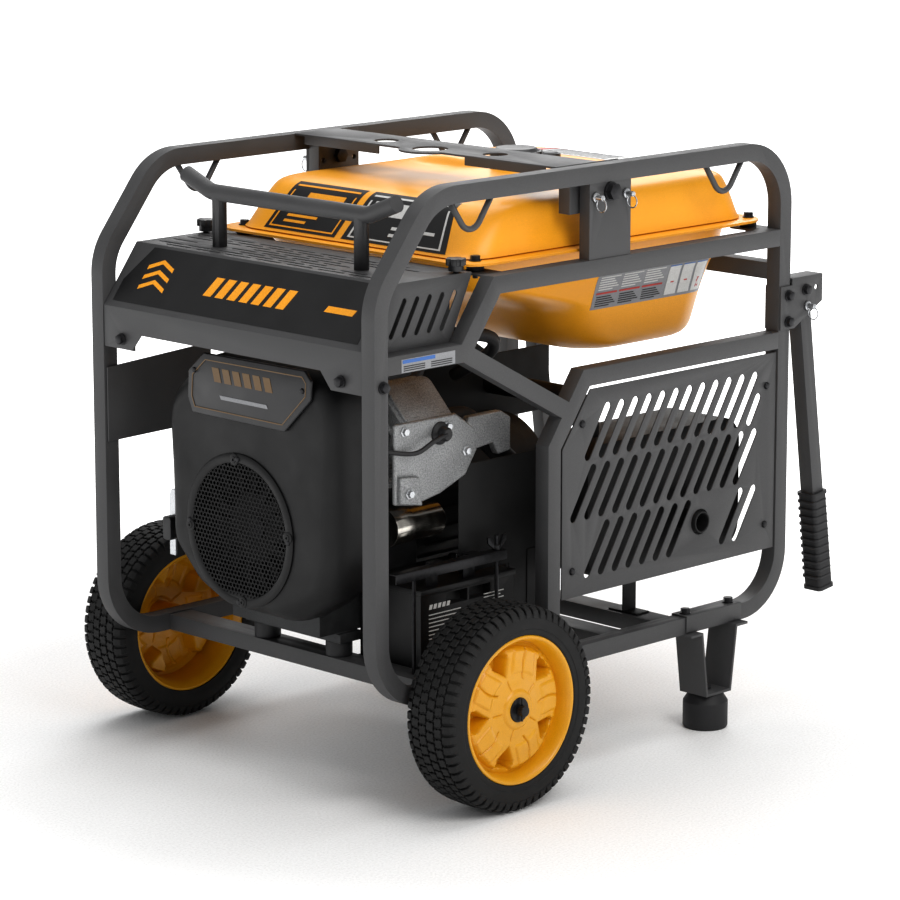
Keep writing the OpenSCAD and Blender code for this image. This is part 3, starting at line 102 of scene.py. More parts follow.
def surface(name, dark, light, roughness, grain_mm, grain_depth, cloud_mm=60.0, metallic=0.0, ior=1.5,
            coat=0.0, coat_roughness=0.2, rough_spread=0.08, stretch=(1, 1, 1), sparkle=0.14):
    """A real finish: two close tones that drift, a fine relief and an uneven roughness."""
    material, tree = new_material(name)
    place = add_node(tree, "ShaderNodeTexCoord").outputs["Object"]
    mapped = add_node(tree, "ShaderNodeMapping", {"Vector": place, "Scale": stretch}).outputs["Vector"]
    cloud = add_node(tree, "ShaderNodeTexNoise",
                     {"Vector": mapped, "Scale": 1000 / cloud_mm, "Detail": 5.0,
                      "Roughness": 0.6}).outputs["Fac"]
    grain = add_node(tree, "ShaderNodeTexNoise",
                     {"Vector": mapped, "Scale": 1000 / grain_mm, "Detail": 3.0,
                      "Roughness": 0.7}).outputs["Fac"]
    tone = add_node(tree, "ShaderNodeMapRange",
                    {"Value": cloud, "From Min": 0.3, "From Max": 0.7}).outputs["Result"]
    blend = add_node(tree, "ShaderNodeMix", {"Factor": tone}, data_type="RGBA")
    blend.inputs["A"].default_value = linear(dark)
    blend.inputs["B"].default_value = linear(light)
    speck = add_node(tree, "ShaderNodeMapRange",
                     {"Value": grain, "From Min": 0.25, "From Max": 0.75, "To Min": 1 - sparkle,
                      "To Max": 1 + sparkle}).outputs["Result"]
    tint = add_node(tree, "ShaderNodeVectorMath", {0: blend.outputs["Result"], "Scale": speck},
                    operation="SCALE")
    rough = add_node(tree, "ShaderNodeMapRange",
                     {"Value": cloud, "From Min": 0.3, "From Max": 0.7,
                      "To Min": roughness - rough_spread,
                      "To Max": roughness + rough_spread}).outputs["Result"]
    bump = add_node(tree, "ShaderNodeBump",
                    {"Height": grain, "Strength": 1.0, "Distance": grain_depth * MM})
    shader = add_node(tree, "ShaderNodeBsdfPrincipled",
                      {"Base Color": tint.outputs["Vector"], "Roughness": rough, "Metallic": metallic,
                       "IOR": ior,
                       "Coat Weight": coat, "Coat Roughness": coat_roughness,
                       "Normal": bump.outputs["Normal"]})
    add_node(tree, "ShaderNodeOutputMaterial", {"Surface": shader.outputs["BSDF"]})
    return material


MATERIALS = {}


def brighten_far(material):
    """Lets the studio paper glow away from the machine like a lit backdrop; the shadow close by stays."""
    tree = material.node_tree
    place = add_node(tree, "ShaderNodeTexCoord").outputs["Object"]
    reach = add_node(tree, "ShaderNodeVectorMath", {0: place}, operation="LENGTH").outputs["Value"]
    glow = add_node(tree, "ShaderNodeMapRange",
                    {"Value": reach, "From Min": 0.8, "From Max": 2.6, "To Min": 0.0,
                     "To Max": 1.0}).outputs["Result"]
    shader = next(node for node in tree.nodes if node.type == "BSDF_PRINCIPLED")
    shader.inputs["Emission Color"].default_value = (1, 1, 1, 1)
    tree.links.new(glow, shader.inputs["Emission Strength"])


def make_materials():
    """Every finish of the machine, named for what it really is."""
    m = MATERIALS
    # Polyester powder coat: dark warm grey with a fine orange-peel grain that breaks up the highlights.
    # The real grain is about 0.4 mm; it is drawn at 1.4 mm so that it shows.
    m["powder"] = surface("polyester_powder_coat_grey", "3F3F40", "474748", 0.56, 1.4, 0.07, cloud_mm=90)
    # Automotive tank enamel: amber, smooth, with a clear gloss over it.
    m["tank"] = surface("baked_tank_enamel_amber", "EFA01C", "F2A626", 0.42, 1.2, 0.01, cloud_mm=260,
                        coat=0.15, coat_roughness=0.2, rough_spread=0.03)
    # Rim enamel on pressed steel: slightly deeper yellow, satin.
    m["rim"] = surface("baked_rim_enamel_yellow", "D6980C", "DC9E14", 0.4, 1.2, 0.02, cloud_mm=70,
                       coat=0.2)
    # Moulded SBR tyre rubber: sooty black, dusty in places.
    m["tyre"] = surface("moulded_tyre_rubber_black", "0F0F10", "191919", 0.68, 1.6, 0.12, cloud_mm=24,
                        ior=1.46)
    # Soft moulded nitrile rubber of the grips, feet and bushings.
    m["rubber"] = surface("moulded_nitrile_rubber_black", "18181A", "242426", 0.6, 1.2, 0.06,
                          cloud_mm=30, ior=1.52)
    # Glass-filled nylon of the blower shroud: textured mould, dull black.
    m["shroud"] = surface("textured_nylon_moulding_black", "0B0B0C", "101011", 0.52, 1.3, 0.05,
                          cloud_mm=80, ior=1.42)
    # Smooth ABS mouldings of the small controls.
    m["plastic"] = surface("moulded_abs_black", "151517", "202022", 0.42, 2.0, 0.03, cloud_mm=40,
                           ior=1.54)
    # High-temperature stove paint on sheet steel.
    m["stove"] = surface("stove_enamel_matte_black", "111112", "181818", 0.6, 1.5, 0.05, cloud_mm=50,
                         ior=1.42)
    # Sand-cast and shot-blasted aluminium: bright grey with a coarse sparkle.
    m["cast"] = surface("shot_blasted_cast_aluminium", "8C8D8E", "9C9D9E", 0.4, 2.4, 1.2, cloud_mm=45,
                        metallic=0.7, sparkle=0.55, rough_spread=0.1)
    # The same casting drawn darker and duller for the crankcase, low in the engine.
    m["cast_dull"] = surface("darker_cast_aluminium", "343536", "434445", 0.5, 1.7, 0.4, cloud_mm=20,
                             metallic=0.6)
    # Turned and polished mild steel of the starter's case.
    m["polished"] = surface("turned_mild_steel", "B4B0A8", "D8D4CC", 0.2, 2.5, 0.004, cloud_mm=60,
                            metallic=1.0, stretch=(4, 1, 1))
    # Bright zinc plate on pins, rings and washers.
    m["zinc"] = surface("bright_zinc_plate", "A8AAAD", "CFD1D3", 0.3, 2.0, 0.03, cloud_mm=9,
                        metallic=1.0)
    # Black-oxide hardware: bolts and screws of the frame.
    m["oxide"] = surface("black_oxide_hardware", "1F1F21", "303032", 0.38, 1.2, 0.04, cloud_mm=7,
                         metallic=0.6)
    # Polypropylene battery case with a fine spark-eroded texture.
    m["battery"] = surface("polypropylene_case_black", "111112", "181819", 0.48, 1.2, 0.05, cloud_mm=45,
                           ior=1.45)
    # Screen-printed vinyl for panels and labels.
    m["vinyl_black"] = surface("printed_vinyl_black", "131314", "19191A", 0.42, 2.5, 0.015, cloud_mm=60,
                               ior=1.53)
    m["vinyl_amber"] = surface("printed_vinyl_amber", "EE9C16", "F4A524", 0.4, 2.5, 0.015, cloud_mm=60,
                               ior=1.53)
    m["vinyl_white"] = surface("printed_vinyl_white", "C2C2C0", "CCCCCA", 0.42, 2.5, 0.015, cloud_mm=60,
                               ior=1.53)
    m["vinyl_grey"] = surface("printed_vinyl_grey", "7E7F82", "8A8B8E", 0.42, 2.5, 0.015, cloud_mm=60,
                              ior=1.53)
    m["vinyl_blue"] = surface("printed_vinyl_blue", "2C5A9C", "3464A8", 0.42, 2.5, 0.015, cloud_mm=60,
                              ior=1.53)
    m["vinyl_ochre"] = surface("printed_vinyl_ochre", "5C4218", "664A1E", 0.42, 2.5, 0.015, cloud_mm=60,
                               ior=1.53)
    m["vinyl_red"] = surface("printed_vinyl_red", "A8281E", "B43226", 0.42, 2.5, 0.015, cloud_mm=60,
                             ior=1.53)
    # Glossy ABS of the start button.
    m["red"] = surface("gloss_abs_red", "B01C12", "BC261A", 0.25, 3.0, 0.01, cloud_mm=20, ior=1.54)
    # Seamless studio paper.
    m["paper"] = surface("matte_studio_paper", "FAFAFA", "FDFDFD", 0.9, 4.0, 0.02, cloud_mm=400)
    brighten_far(m["paper"])


# ---- Modelling helpers ----

def deselect():
    if bpy.context.object and bpy.context.object.mode != "OBJECT":
        bpy.ops.object.mode_set(mode="OBJECT")
    bpy.ops.object.select_all(action="DESELECT")


def pick(piece):
    deselect()
    piece.select_set(True)
    bpy.context.view_layer.objects.active = piece


def modify(piece, kind, **settings):
    pick(piece)
    modifier = piece.modifiers.new(kind.title(), kind)
    for name, value in settings.items():
        setattr(modifier, name, value)
    bpy.ops.object.modifier_apply(modifier=modifier.name)


def smooth(piece, degrees=35):
    pick(piece)
    bpy.ops.object.shade_smooth_by_angle(angle=math.radians(degrees))


def dress(piece, material):
    piece.data.materials.clear()
    piece.data.materials.append(MATERIALS[material])


def finish_piece(piece, body, material, replaces=()):
    dress(piece, material)
    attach(piece, body)
    for node in replaces:
        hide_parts(node)
    return piece


def body_of(node):
    return frame["nodes"][node]["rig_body"]


def slot_of(node):
    for part in frame["record"]["subparts"]:
        if part["node"] == node:
            return part["material_slot"]
    raise RuntimeError("no material slot for " + node)


def softened(node, material, bevel_mm, segments=2, angle=30, crease=38):
    """A copy of a machined node with its triangles joined and its sharp edges broken."""
    source = frame["nodes"][node]
    piece = bpy.data.objects.new(node + "_finish", source.data.copy())
    bpy.context.scene.collection.objects.link(piece)
    pick(piece)
    bpy.ops.object.mode_set(mode="EDIT")
    bpy.ops.mesh.select_all(action="SELECT")
    bpy.ops.mesh.remove_doubles(threshold=0.00002)
    bpy.ops.mesh.dissolve_limited(angle_limit=math.radians(0.6))
    bpy.ops.object.mode_set(mode="OBJECT")
    if bevel_mm:
        modify(piece, "BEVEL", width=bevel_mm * MM, segments=segments, limit_method="ANGLE",
               angle_limit=math.radians(angle), harden_normals=False)
    smooth(piece, crease)
    finish_piece(piece, body_of(node), material, [node])
    return piece


def merged(pieces, name):
    deselect()
    for piece in pieces:
        piece.select_set(True)
    bpy.context.view_layer.objects.active = pieces[0]
    if len(pieces) > 1:
        bpy.ops.object.join()
    pieces[0].name = name
    return pieces[0]


def centre(node):
    low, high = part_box(node)
    return (low + high) / 2


# ---- Shapes made from a primitive ----

def settle(piece, place):
    """Moves every corner to its place on the machine. place is a matrix or a function of (u, v, w)."""
    for vertex in piece.data.vertices:
        vertex.co = place @ vertex.co if isinstance(place, Matrix) else place(*vertex.co)
    pick(piece)
    bpy.ops.object.mode_set(mode="EDIT")
    bpy.ops.mesh.select_all(action="SELECT")
    bpy.ops.mesh.remove_doubles(threshold=0.00001)
    bpy.ops.mesh.normals_make_consistent(inside=False)
    bpy.ops.object.mode_set(mode="OBJECT")
    return piece


def from_outline(name, points, depth, place, edge=0.0, segments=2):
    """A filled circle primitive moved to an outline in mm, pushed out to a depth, its edges broken."""
    deselect()
    bpy.ops.mesh.primitive_circle_add(vertices=len(points), radius=1, fill_type="NGON")
    piece = bpy.context.object
    piece.name = name
    for vertex, (u, v) in zip(piece.data.vertices, points):
        vertex.co = (u * MM, v * MM, 0)
    bpy.ops.object.mode_set(mode="EDIT")
    bpy.ops.mesh.select_all(action="SELECT")
    bpy.ops.mesh.extrude_region_move(TRANSFORM_OT_translate={"value": (0, 0, depth * MM)})
    bpy.ops.mesh.select_all(action="SELECT")
    bpy.ops.mesh.normals_make_consistent(inside=False)
    bpy.ops.object.mode_set(mode="OBJECT")
    if edge:
        modify(piece, "BEVEL", width=edge * MM, segments=segments, limit_method="ANGLE",
               angle_limit=math.radians(40))
    return settle(piece, place)


def stripe(name, points, margin, width, depth, place):
    """A thin line that follows an outline: the filled shape is inset twice and its middle taken out."""
    deselect()
    bpy.ops.mesh.primitive_circle_add(vertices=len(points), radius=1, fill_type="NGON")
    piece = bpy.context.object
    piece.name = name
    for vertex, (u, v) in zip(piece.data.vertices, points):
        vertex.co = (u * MM, v * MM, 0)
    bpy.ops.object.mode_set(mode="EDIT")
    bpy.ops.mesh.select_mode(type="FACE")
    bpy.ops.mesh.select_all(action="SELECT")
    if margin:
        bpy.ops.mesh.inset(thickness=margin * MM, depth=0)
        bpy.ops.mesh.select_all(action="INVERT")
        bpy.ops.mesh.delete(type="FACE")
        bpy.ops.mesh.select_all(action="SELECT")
    bpy.ops.mesh.inset(thickness=width * MM, depth=0)
    bpy.ops.mesh.delete(type="FACE")
    bpy.ops.mesh.select_all(action="SELECT")
    bpy.ops.mesh.extrude_region_move(TRANSFORM_OT_translate={"value": (0, 0, depth * MM)})
    bpy.ops.mesh.select_mode(type="VERT")
    bpy.ops.object.mode_set(mode="OBJECT")
    return settle(piece, place)


def turned(name, profile, place, steps=96):
    """A closed outline of (radius, height) in mm, spun round the local Z axis."""
    deselect()
    bpy.ops.mesh.primitive_circle_add(vertices=len(profile), radius=1, fill_type="NOTHING")
    piece = bpy.context.object
    piece.name = name
    for vertex, (r, w) in zip(piece.data.vertices, profile):
        vertex.co = (r * MM, 0, w * MM)
    bpy.ops.object.mode_set(mode="EDIT")
    bpy.ops.mesh.select_all(action="SELECT")
    bpy.ops.mesh.spin(steps=steps, angle=math.tau, center=(0, 0, 0), axis=(0, 0, 1))
    bpy.ops.object.mode_set(mode="OBJECT")
    return settle(piece, place)


def sheet_grid(name, columns, rows, point):
    """A grid primitive whose corners are placed by point(s, t), with s and t from 0 to 1."""
    deselect()
    bpy.ops.mesh.primitive_grid_add(x_subdivisions=columns, y_subdivisions=rows, size=1)
    piece = bpy.context.object
    piece.name = name
    for vertex in piece.data.vertices:
        vertex.co = point(vertex.co.x + 0.5, vertex.co.y + 0.5)
    return piece


def copied(piece, matrix):
    """A separate mesh copy, moved by a matrix."""
    twin = bpy.data.objects.new(piece.name, piece.data.copy())
    bpy.context.scene.collection.objects.link(twin)
    twin.data.transform(matrix)
    return twin


def hose(name, points, diameter, sides=16):
    """A round bar along a smooth path in mm."""
    curve = bpy.data.curves.new(name, "CURVE")
    curve.dimensions = "3D"
    curve.bevel_depth = diameter / 2 * MM
    curve.bevel_resolution = sides // 4
    curve.use_fill_caps = True
    spline = curve.splines.new("NURBS")
    spline.points.add(len(points) - 1)
    for knot, (x, y, z) in zip(spline.points, points):
        knot.co = (x * MM, y * MM, z * MM, 1)
    spline.use_endpoint_u = True
    spline.order_u = 4
    piece = bpy.data.objects.new(name, curve)
    bpy.context.scene.collection.objects.link(piece)
    pick(piece)
    bpy.ops.object.convert(target="MESH")
    return bpy.context.object


def smoothstep(low, high, value):
    t = min(1.0, max(0.0, (value - low) / (high - low)))
    return t * t * (3 - 2 * t)


def eased(table, value):
    """Reading of a table of (value, result) pairs, each stretch eased in and out."""
    for (x0, y0), (x1, y1) in zip(table, table[1:]):
        if value <= x1:
            return y0 + (y1 - y0) * smoothstep(x0, x1, value)
    return table[-1][1]


def rounded_outline(x0, x1, y0, y1, radius, arc=6):
    """Corner points of a rectangle with round corners, in mm."""
    points = []
    for cx, cy, turn in ((x1 - radius, y1 - radius, 0), (x0 + radius, y1 - radius, 90),
                         (x0 + radius, y0 + radius, 180), (x1 - radius, y0 + radius, 270)):
        for k in range(arc + 1):
            a = math.radians(turn + 90 * k / arc)
            points.append((cx + radius * math.cos(a), cy + radius * math.sin(a)))
    return points


def slanted_bar(u0, u1, v0, v1, lean):
    """Four corners of a bar whose top leans over."""
    return [(u0, v0), (u1, v0), (u1 + lean, v1), (u0 + lean, v1)]


# ---- Settings ----

class GeneratorSizes(bpy.types.PropertyGroup):
    """Sizes of the finishing work, in metres."""
    edge: FloatProperty(name="Broken edge", description="Bevel on the welded steelwork",
                        default=1.2 * MM, unit="LENGTH")
    tube_edge: FloatProperty(name="Tube corner", description="Corner radius of the square tube",
                             default=3.0 * MM, unit="LENGTH")
    lug_count: IntProperty(name="Tread lugs", description="Shoulder lugs round one side of a tyre",
                           default=60)
    hole_pitch: FloatProperty(name="Grille pitch", description="Distance between grille holes",
                              default=7.4 * MM, unit="LENGTH")


class GeneratorColours(bpy.types.PropertyGroup):
    """Light colours of the studio."""
    key: FloatVectorProperty(name="Key light", description="Colour of the main softbox",
                             default=(1.0, 0.985, 0.96), subtype="COLOR")


def sizes():
    return bpy.context.scene.generator_sizes


# ---- Places taken from the frame, in mm ----

def mm(value):
    return value / MM


LOOP_LOW, LOOP_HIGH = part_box("side_loop_left")
FRONT_X = mm(LOOP_LOW.x)
SIDE_Y = mm(-LOOP_LOW.y)
TANK_LOW, TANK_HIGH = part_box("fuel_tank_upper")
HOOD_LOW, HOOD_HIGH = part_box("hood")
GRILLE_LOW, GRILLE_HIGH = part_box("intake_grille")
BADGE_LOW, BADGE_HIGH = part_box("badge_cover")
BATTERY_LOW, BATTERY_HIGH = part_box("battery")


def facing_front(x, y, z):
    """Local axes for a piece that looks out of the engine end: u to the right side, v up, w outwards."""
    return lambda u, v, w: Vector((x * MM - w, y * MM + u, z * MM + v))


def facing_left(x, y, z):
    """Local axes for a piece that looks out of the slotted side: u to the rear, v up, w outwards."""
    return lambda u, v, w: Vector((x * MM + u, y * MM - w, z * MM + v))


def facing_right(x, y, z):
    """Local axes for a piece that looks out of the control side: u to the front, v up, w outwards."""
    return lambda u, v, w: Vector((x * MM - u, y * MM + w, z * MM + v))


def facing_up(x, y, z):
    return lambda u, v, w: Vector((x * MM + u, y * MM + v, z * MM + w))


def wheel_place(side):
    """Local Z is the wheel's axle, pointing outwards, from the machine's centre plane."""
    low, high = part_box("tyre_" + side)
    turn = 90 if side == "left" else -90
    return Matrix.Translation(((low.x + high.x) / 2, 0,
                               (low.z + high.z) / 2)) @ Matrix.Rotation(math.radians(turn), 4, "X")


# ---- Wheels ----

WHEEL_R = mm((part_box("tyre_left")[1].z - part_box("tyre_left")[0].z) / 2)
WHEEL_W = mm(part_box("tyre_left")[1].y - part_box("tyre_left")[0].y)
WHEEL_IN = mm(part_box("tyre_right")[0].y)
RIM_R = mm((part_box("rim_left")[1].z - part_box("rim_left")[0].z) / 2)
LUG_DEPTH = 4.0
POCKETS = 5
POCKET_PHASE = 40
RIM_FACE = [(18, 81.5), (25, 81.5), (30, 78), (46, 76), (84, 72), (88, 71), (91, 65), (98, 62)]
POCKET_DEPTH = 25


def pocket_depth(x, y):
    """How deep a rim pocket is at x along its own spoke direction and y across it."""
    across = max(abs(y) - 18.5, abs(y) * 0.80 + (57 - x) * 0.62 - 3, x - 90)
    return POCKET_DEPTH * (1 - smoothstep(-5.0, 0.0, across))


def rim_height(r, angle):
    """Height of the pressed wheel face over the wheel's inner edge."""
    height = eased(RIM_FACE, r)
    pitch = 360 / POCKETS
    off = (math.degrees(angle) - POCKET_PHASE + pitch / 2) % pitch - pitch / 2
    x, y = r * math.cos(math.radians(off)), r * math.sin(math.radians(off))
    height -= pocket_depth(x, y)
    if 30 < r < 48:
        height -= 1.8 * (1 - smoothstep(0.6, 2.2, abs(y)))
    turn = (off + pitch) % pitch - pitch / 2
    x, y = r * math.cos(math.radians(turn)), r * math.sin(math.radians(turn))
    if 44 < r < 88:
        bow = 5.0 * math.sin(math.pi * (r - 44) / 44) - 2.5
        height -= 3.0 * (1 - smoothstep(0.8, 2.6, abs(y - bow)))
    # Flat tabs at the outer ends of the spokes stand proud of the dish between them
    height += 2.5 * (1 - smoothstep(20, 23, abs(y))) * smoothstep(52, 58,
                                                                  r) * (1 - smoothstep(85, 87, r))
    return height


def make_rim(side):
    place = wheel_place(side)
    r0, r1 = RIM_FACE[0][0], RIM_FACE[-1][0]

    def face(s, t):
        r, a = r0 + (r1 - r0) * t, math.tau * s
        return Vector((r * math.cos(a) * MM, r * math.sin(a) * MM, (WHEEL_IN + rim_height(r, a)) * MM))

    disc = sheet_grid("rim_face_" + side, 360, 62, face)
    pick(disc)
    bpy.ops.object.mode_set(mode="EDIT")
    bpy.ops.mesh.select_all(action="SELECT")
    bpy.ops.mesh.remove_doubles(threshold=0.00002)
    bpy.ops.mesh.normals_make_consistent(inside=False)
    bpy.ops.object.mode_set(mode="OBJECT")
    modify(disc, "SOLIDIFY", thickness=2.6 * MM, offset=0.0)
    settle(disc, place)
    w = WHEEL_IN
    barrel = [(95, w + 59), (97, w + 64), (98.5, w + 72), (101, w + 81), (103.5, w + 86),
              (105.5, w + 88),
              (108, w + 88.3), (RIM_R, w + 87), (RIM_R + 0.2, w + 83), (101.2, w + 73), (100.8, w + 18),
              (RIM_R, w + 9),
              (RIM_R, w + 5), (106, w + 4), (99, w + 13), (97, w + 20)]
    ring = turned("rim_barrel_" + side, barrel, place, steps=144)
    hub = turned("rim_hub_" + side, [(8.6, w + 5), (20, w + 5), (21, w + 12), (21, w + 79),
                                     (19, w + 81.8), (8.6, w + 81.8)],
                 place, steps=48)
    rim = merged([disc, ring, hub], "rim_" + side + "_finish")
    smooth(rim, 50)
    finish_piece(rim, body_of("rim_" + side), "rim", ["rim_" + side])


def make_hub_washer(side):
    """The black washer that the cotter holds against the hub."""
    w = WHEEL_IN + 82.3
    washer = turned("hub_washer_" + side, [(8.2, w), (18, w), (18.4, w + 0.8), (17.4, w + 2.6),
                                           (8.2, w + 2.6)],
                    wheel_place(side), steps=48)
    smooth(washer, 35)
    finish_piece(washer, body_of("wheel_retainers"), "oxide")


def tread_block(points, low, high, edge):
    """One rubber block: an outline of (arc, width) in mm raised from one radius to another."""
    def wrap(u, v, w):
        angle, r = u / (high * MM), low * MM + w
        return Vector((r * math.cos(angle), r * math.sin(angle), v))
    return from_outline("tread_block", points, high - low, wrap, edge, segments=1)


def tread_row_blocks():
    """The blocks of one pitch: staggered wavy scales across the crown and a lug over each shoulder."""
    w, crown = WHEEL_IN, WHEEL_R
    arc = math.tau * WHEEL_R / sizes().lug_count
    scale = [(-7.2, -2.4), (-5.2, 1.6), (-6.6, 5.0), (-2.8, 7.0), (1.4, 5.8), (5.2, 7.2), (7.2, 2.6),
             (5.0, -1.4),
             (6.6, -5.4), (2.6, -7.1), (-1.6, -5.6), (-5.4, -6.8)]
    blocks = []
    for row in range(4):
        middle = WHEEL_W / 2 + (row - 1.5) * 14.9
        shift = arc / 2 * (row % 2)
        flip = -1 if row % 2 else 1
        drop = 1.3 * abs(row - 1.5) / 1.5
        points = [(shift + u, w + middle + flip * v) for u, v in scale]
        blocks.append(tread_block(points, crown - LUG_DEPTH - 2.5, crown - drop, 0.7))
    for outer in (0, 1):
        lug = [(crown - 1.6, 75.5), (crown - 2.6, 82), (crown - 6.5, 87.6), (crown - 13, 89.8),
               (crown - 18, 89.6),
               (crown - 16, 86), (crown - 9, 81), (crown - 7, 75.5)]
        lug = [(r, v if outer else WHEEL_W - v) for r, v in lug]

        def wrap(u, v, depth, turn=arc * (0.22 + 0.5 * outer)):
            angle = (depth + turn * MM) / (WHEEL_R * MM)
            return Vector((u * math.cos(angle), u * math.sin(angle), v + w * MM))
        blocks.append(from_outline("shoulder_lug", lug, arc - 4.6, wrap, 0.9, segments=1))
    return merged(blocks, "tread_pitch")


def make_tyre(side):
    place = wheel_place(side)
    w, r = WHEEL_IN, WHEEL_R
    carcass = [(RIM_R - 8.4, w + 15.5), (RIM_R + 0.6, w + 8), (RIM_R + 0.6, w + 2.5), (118, w + 1.2),
               (119.5, w + 0.4),
               (130, w + 0.3), (r - 13, w + 2.2), (r - 7.5, w + 8), (r - 4.6, w + 17), (r - 4, w + 30),
               (r - 3.8, w + 45),
               (r - 4, w + 60), (r - 4.6, w + 73), (r - 7.5, w + 82), (r - 13, w + 87.8),
               (130, w + 89.7), (119.5, w + 89.6),
               (118, w + 88.6), (112, w + 88.9), (RIM_R + 0.6, w + 87.6), (RIM_R + 0.6, w + 82),
               (RIM_R - 8.4, w + 74.2)]
    body = turned("tyre_body_" + side, carcass, place, steps=144)
    pitch = tread_row_blocks()
    count = sizes().lug_count
    blocks = [copied(pitch, place @ Matrix.Rotation(math.tau * k / count, 4, "Z")) for k in range(count)]
    bpy.data.objects.remove(pitch)
    tyre = merged([body] + blocks, "tyre_" + side + "_finish")
    smooth(tyre, 32)
    finish_piece(tyre, body_of("tyre_" + side), "tyre", ["tyre_" + side])


# ---- Fuel tank ----

TANK_Z0 = mm(TANK_LOW.z)
TANK_X0, TANK_X1 = mm(TANK_LOW.x), mm(TANK_HIGH.x)
TANK_Y = mm(TANK_HIGH.y)
# Height over the seam, then how far the front, rear and side walls stand in from the flange, and the
# corner radius
UPPER_LEVELS = [(0, 10, 10, 18, 52), (4, 18, 13, 22, 56), (9, 22, 15, 24, 58), (30, 36, 20, 28, 60),
                (52, 51, 26, 33, 62),
                (63, 59, 30, 36, 64), (69, 65, 33, 39, 64), (73, 72, 38, 44, 64), (75.5, 82, 46, 52, 66),
                (78, 98, 60, 66, 70),
                (83, 122, 84, 90, 74), (87.5, 144, 106, 112, 76), (90.2, 166, 128, 134, 76),
                (91, 200, 165, 170, 74),
                (91, 250, 230, 215, 50)]
# The same below the seam for the tub: a shallow front whose floor runs back to a step, and a deep rear
LOWER_LEVELS = [(0, 32, 10, 46, 50), (-6, 38, 14, 50, 60), (-30, 58, 17, 54, 62), (-50, 80, 20, 58, 64),
                (-58, 96, 21, 61, 66),
                (-66, 124, 22, 66, 68), (-80, 180, 24, 70, 70), (-92, 228, 26, 74, 70),
                (-102, 262, 28, 77, 70),
                (-114, 284, 30, 80, 70), (-132, 300, 33, 84, 70), (-152, 316, 36, 88, 70),
                (-168, 332, 40, 92, 68),
                (-178, 348, 47, 99, 66), (-184, 366, 60, 112, 62), (-186.6, 390, 86, 138, 56),
                (-187, 430, 125, 175, 46),
                (-187, 470, 170, 215, 30)]


def wall_ring(level):
    """Evenly spread points of one rounded outline of the tank."""
    height, front, rear, side, radius = level
    x0, x1, y = TANK_X0 + front, TANK_X1 - rear, TANK_Y - side
    radius = min(radius, (x1 - x0) / 2 - 1, y - 1)
    spots = []
    for cx, cy, turn in ((x1 - radius, y - radius, 0), (x0 + radius, y - radius, 90),
                         (x0 + radius, -y + radius, 180), (x1 - radius, -y + radius, 270)):
        spots.append([(cx + radius * math.cos(math.radians(turn + 9 * k)),
                       cy + radius * math.sin(math.radians(turn + 9 * k))) for k in range(11)])
    ring = []
    for spot, following, steps in zip(spots, spots[1:] + spots[:1], (26, 20, 26, 20)):
        ring.extend(spot)
        (ax, ay), (bx, by) = spot[-1], following[0]
        ring.extend((ax + (bx - ax) * k / steps, ay + (by - ay) * k / steps) for k in range(1, steps))
    ring.append(ring[0])
    return [(x, y, height) for x, y in ring]


def tank_shell(name, levels, dents):
    """A closed pressed shell: rings of points from the seam to the middle of its face, subdivided."""
    rings = [wall_ring(level) for level in levels]
    count = len(rings[0]) - 1

    def skin(s, t):
        x, y, z = dents(*rings[round(t * (len(rings) - 1))][round(s * count)])
        return Vector((x * MM, y * MM, (TANK_Z0 + z) * MM))

    shell = sheet_grid(name, count, len(rings) - 1, skin)
    pick(shell)
    bpy.ops.object.mode_set(mode="EDIT")
    bpy.ops.mesh.select_all(action="SELECT")
    bpy.ops.mesh.remove_doubles(threshold=0.00002)
    bpy.ops.mesh.select_non_manifold()
    bpy.ops.mesh.edge_face_add()
    bpy.ops.mesh.select_all(action="SELECT")
    bpy.ops.mesh.normals_make_consistent(inside=False)
    bpy.ops.object.mode_set(mode="OBJECT")
    modify(shell, "SUBSURF", levels=1, render_levels=1)
    return shell


def bracket_dent(x, y, z):
    """Sinks the crown under the lifting bracket."""
    bracket_low, bracket_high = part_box("lifting_bracket")
    x0, x1 = mm(bracket_low.x) - 22, mm(bracket_high.x) + 24
    if z > 60:
        depth = 13 * smoothstep(x0 - 16, x0, x) * (1 - smoothstep(x1, x1 + 16, x))
        z = min(z, 91 - depth) if z > 78 else z
    return z


def side_dent(x, y):
    """How far the walls beside the middle posts are pressed in."""
    bolt_low, bolt_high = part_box("lifting_bolts")
    middle = mm(bolt_low.x + bolt_high.x) / 2 - 20
    return 14 * smoothstep(-110, -84, x - middle) * (1 - smoothstep(70, 96, x - middle))


def flange_plate(name, height):
    outline = rounded_outline(TANK_X0, TANK_X1, -TANK_Y, TANK_Y, 45)
    return from_outline(name, outline, 2.0, facing_up(0, 0, height), 0.6)


def make_tank():
    def upper_dents(x, y, z):
        limit = TANK_Y - 19 - side_dent(x, y) if z > 22 else TANK_Y
        return x, max(-limit, min(limit, y)), bracket_dent(x, y, z)

    shell = tank_shell("tank_upper_shell", UPPER_LEVELS, upper_dents)
    rim = flange_plate("tank_upper_flange", TANK_Z0)
    upper = merged([shell, rim], "tank_upper_finish")
    smooth(upper, 40)
    finish_piece(upper, body_of("fuel_tank_upper"), "tank",
                 ["fuel_tank_upper"])
    shell = tank_shell("tank_lower_shell", LOWER_LEVELS, lambda x, y, z: (x, y, z - 1))
    rim = flange_plate("tank_lower_flange", TANK_Z0 - 2)
    lower = merged([shell, rim], "tank_lower_finish")
    smooth(lower, 40)
    finish_piece(lower, body_of("fuel_tank_lower"), "tank",
                 ["fuel_tank_lower"])
    return upper, lower


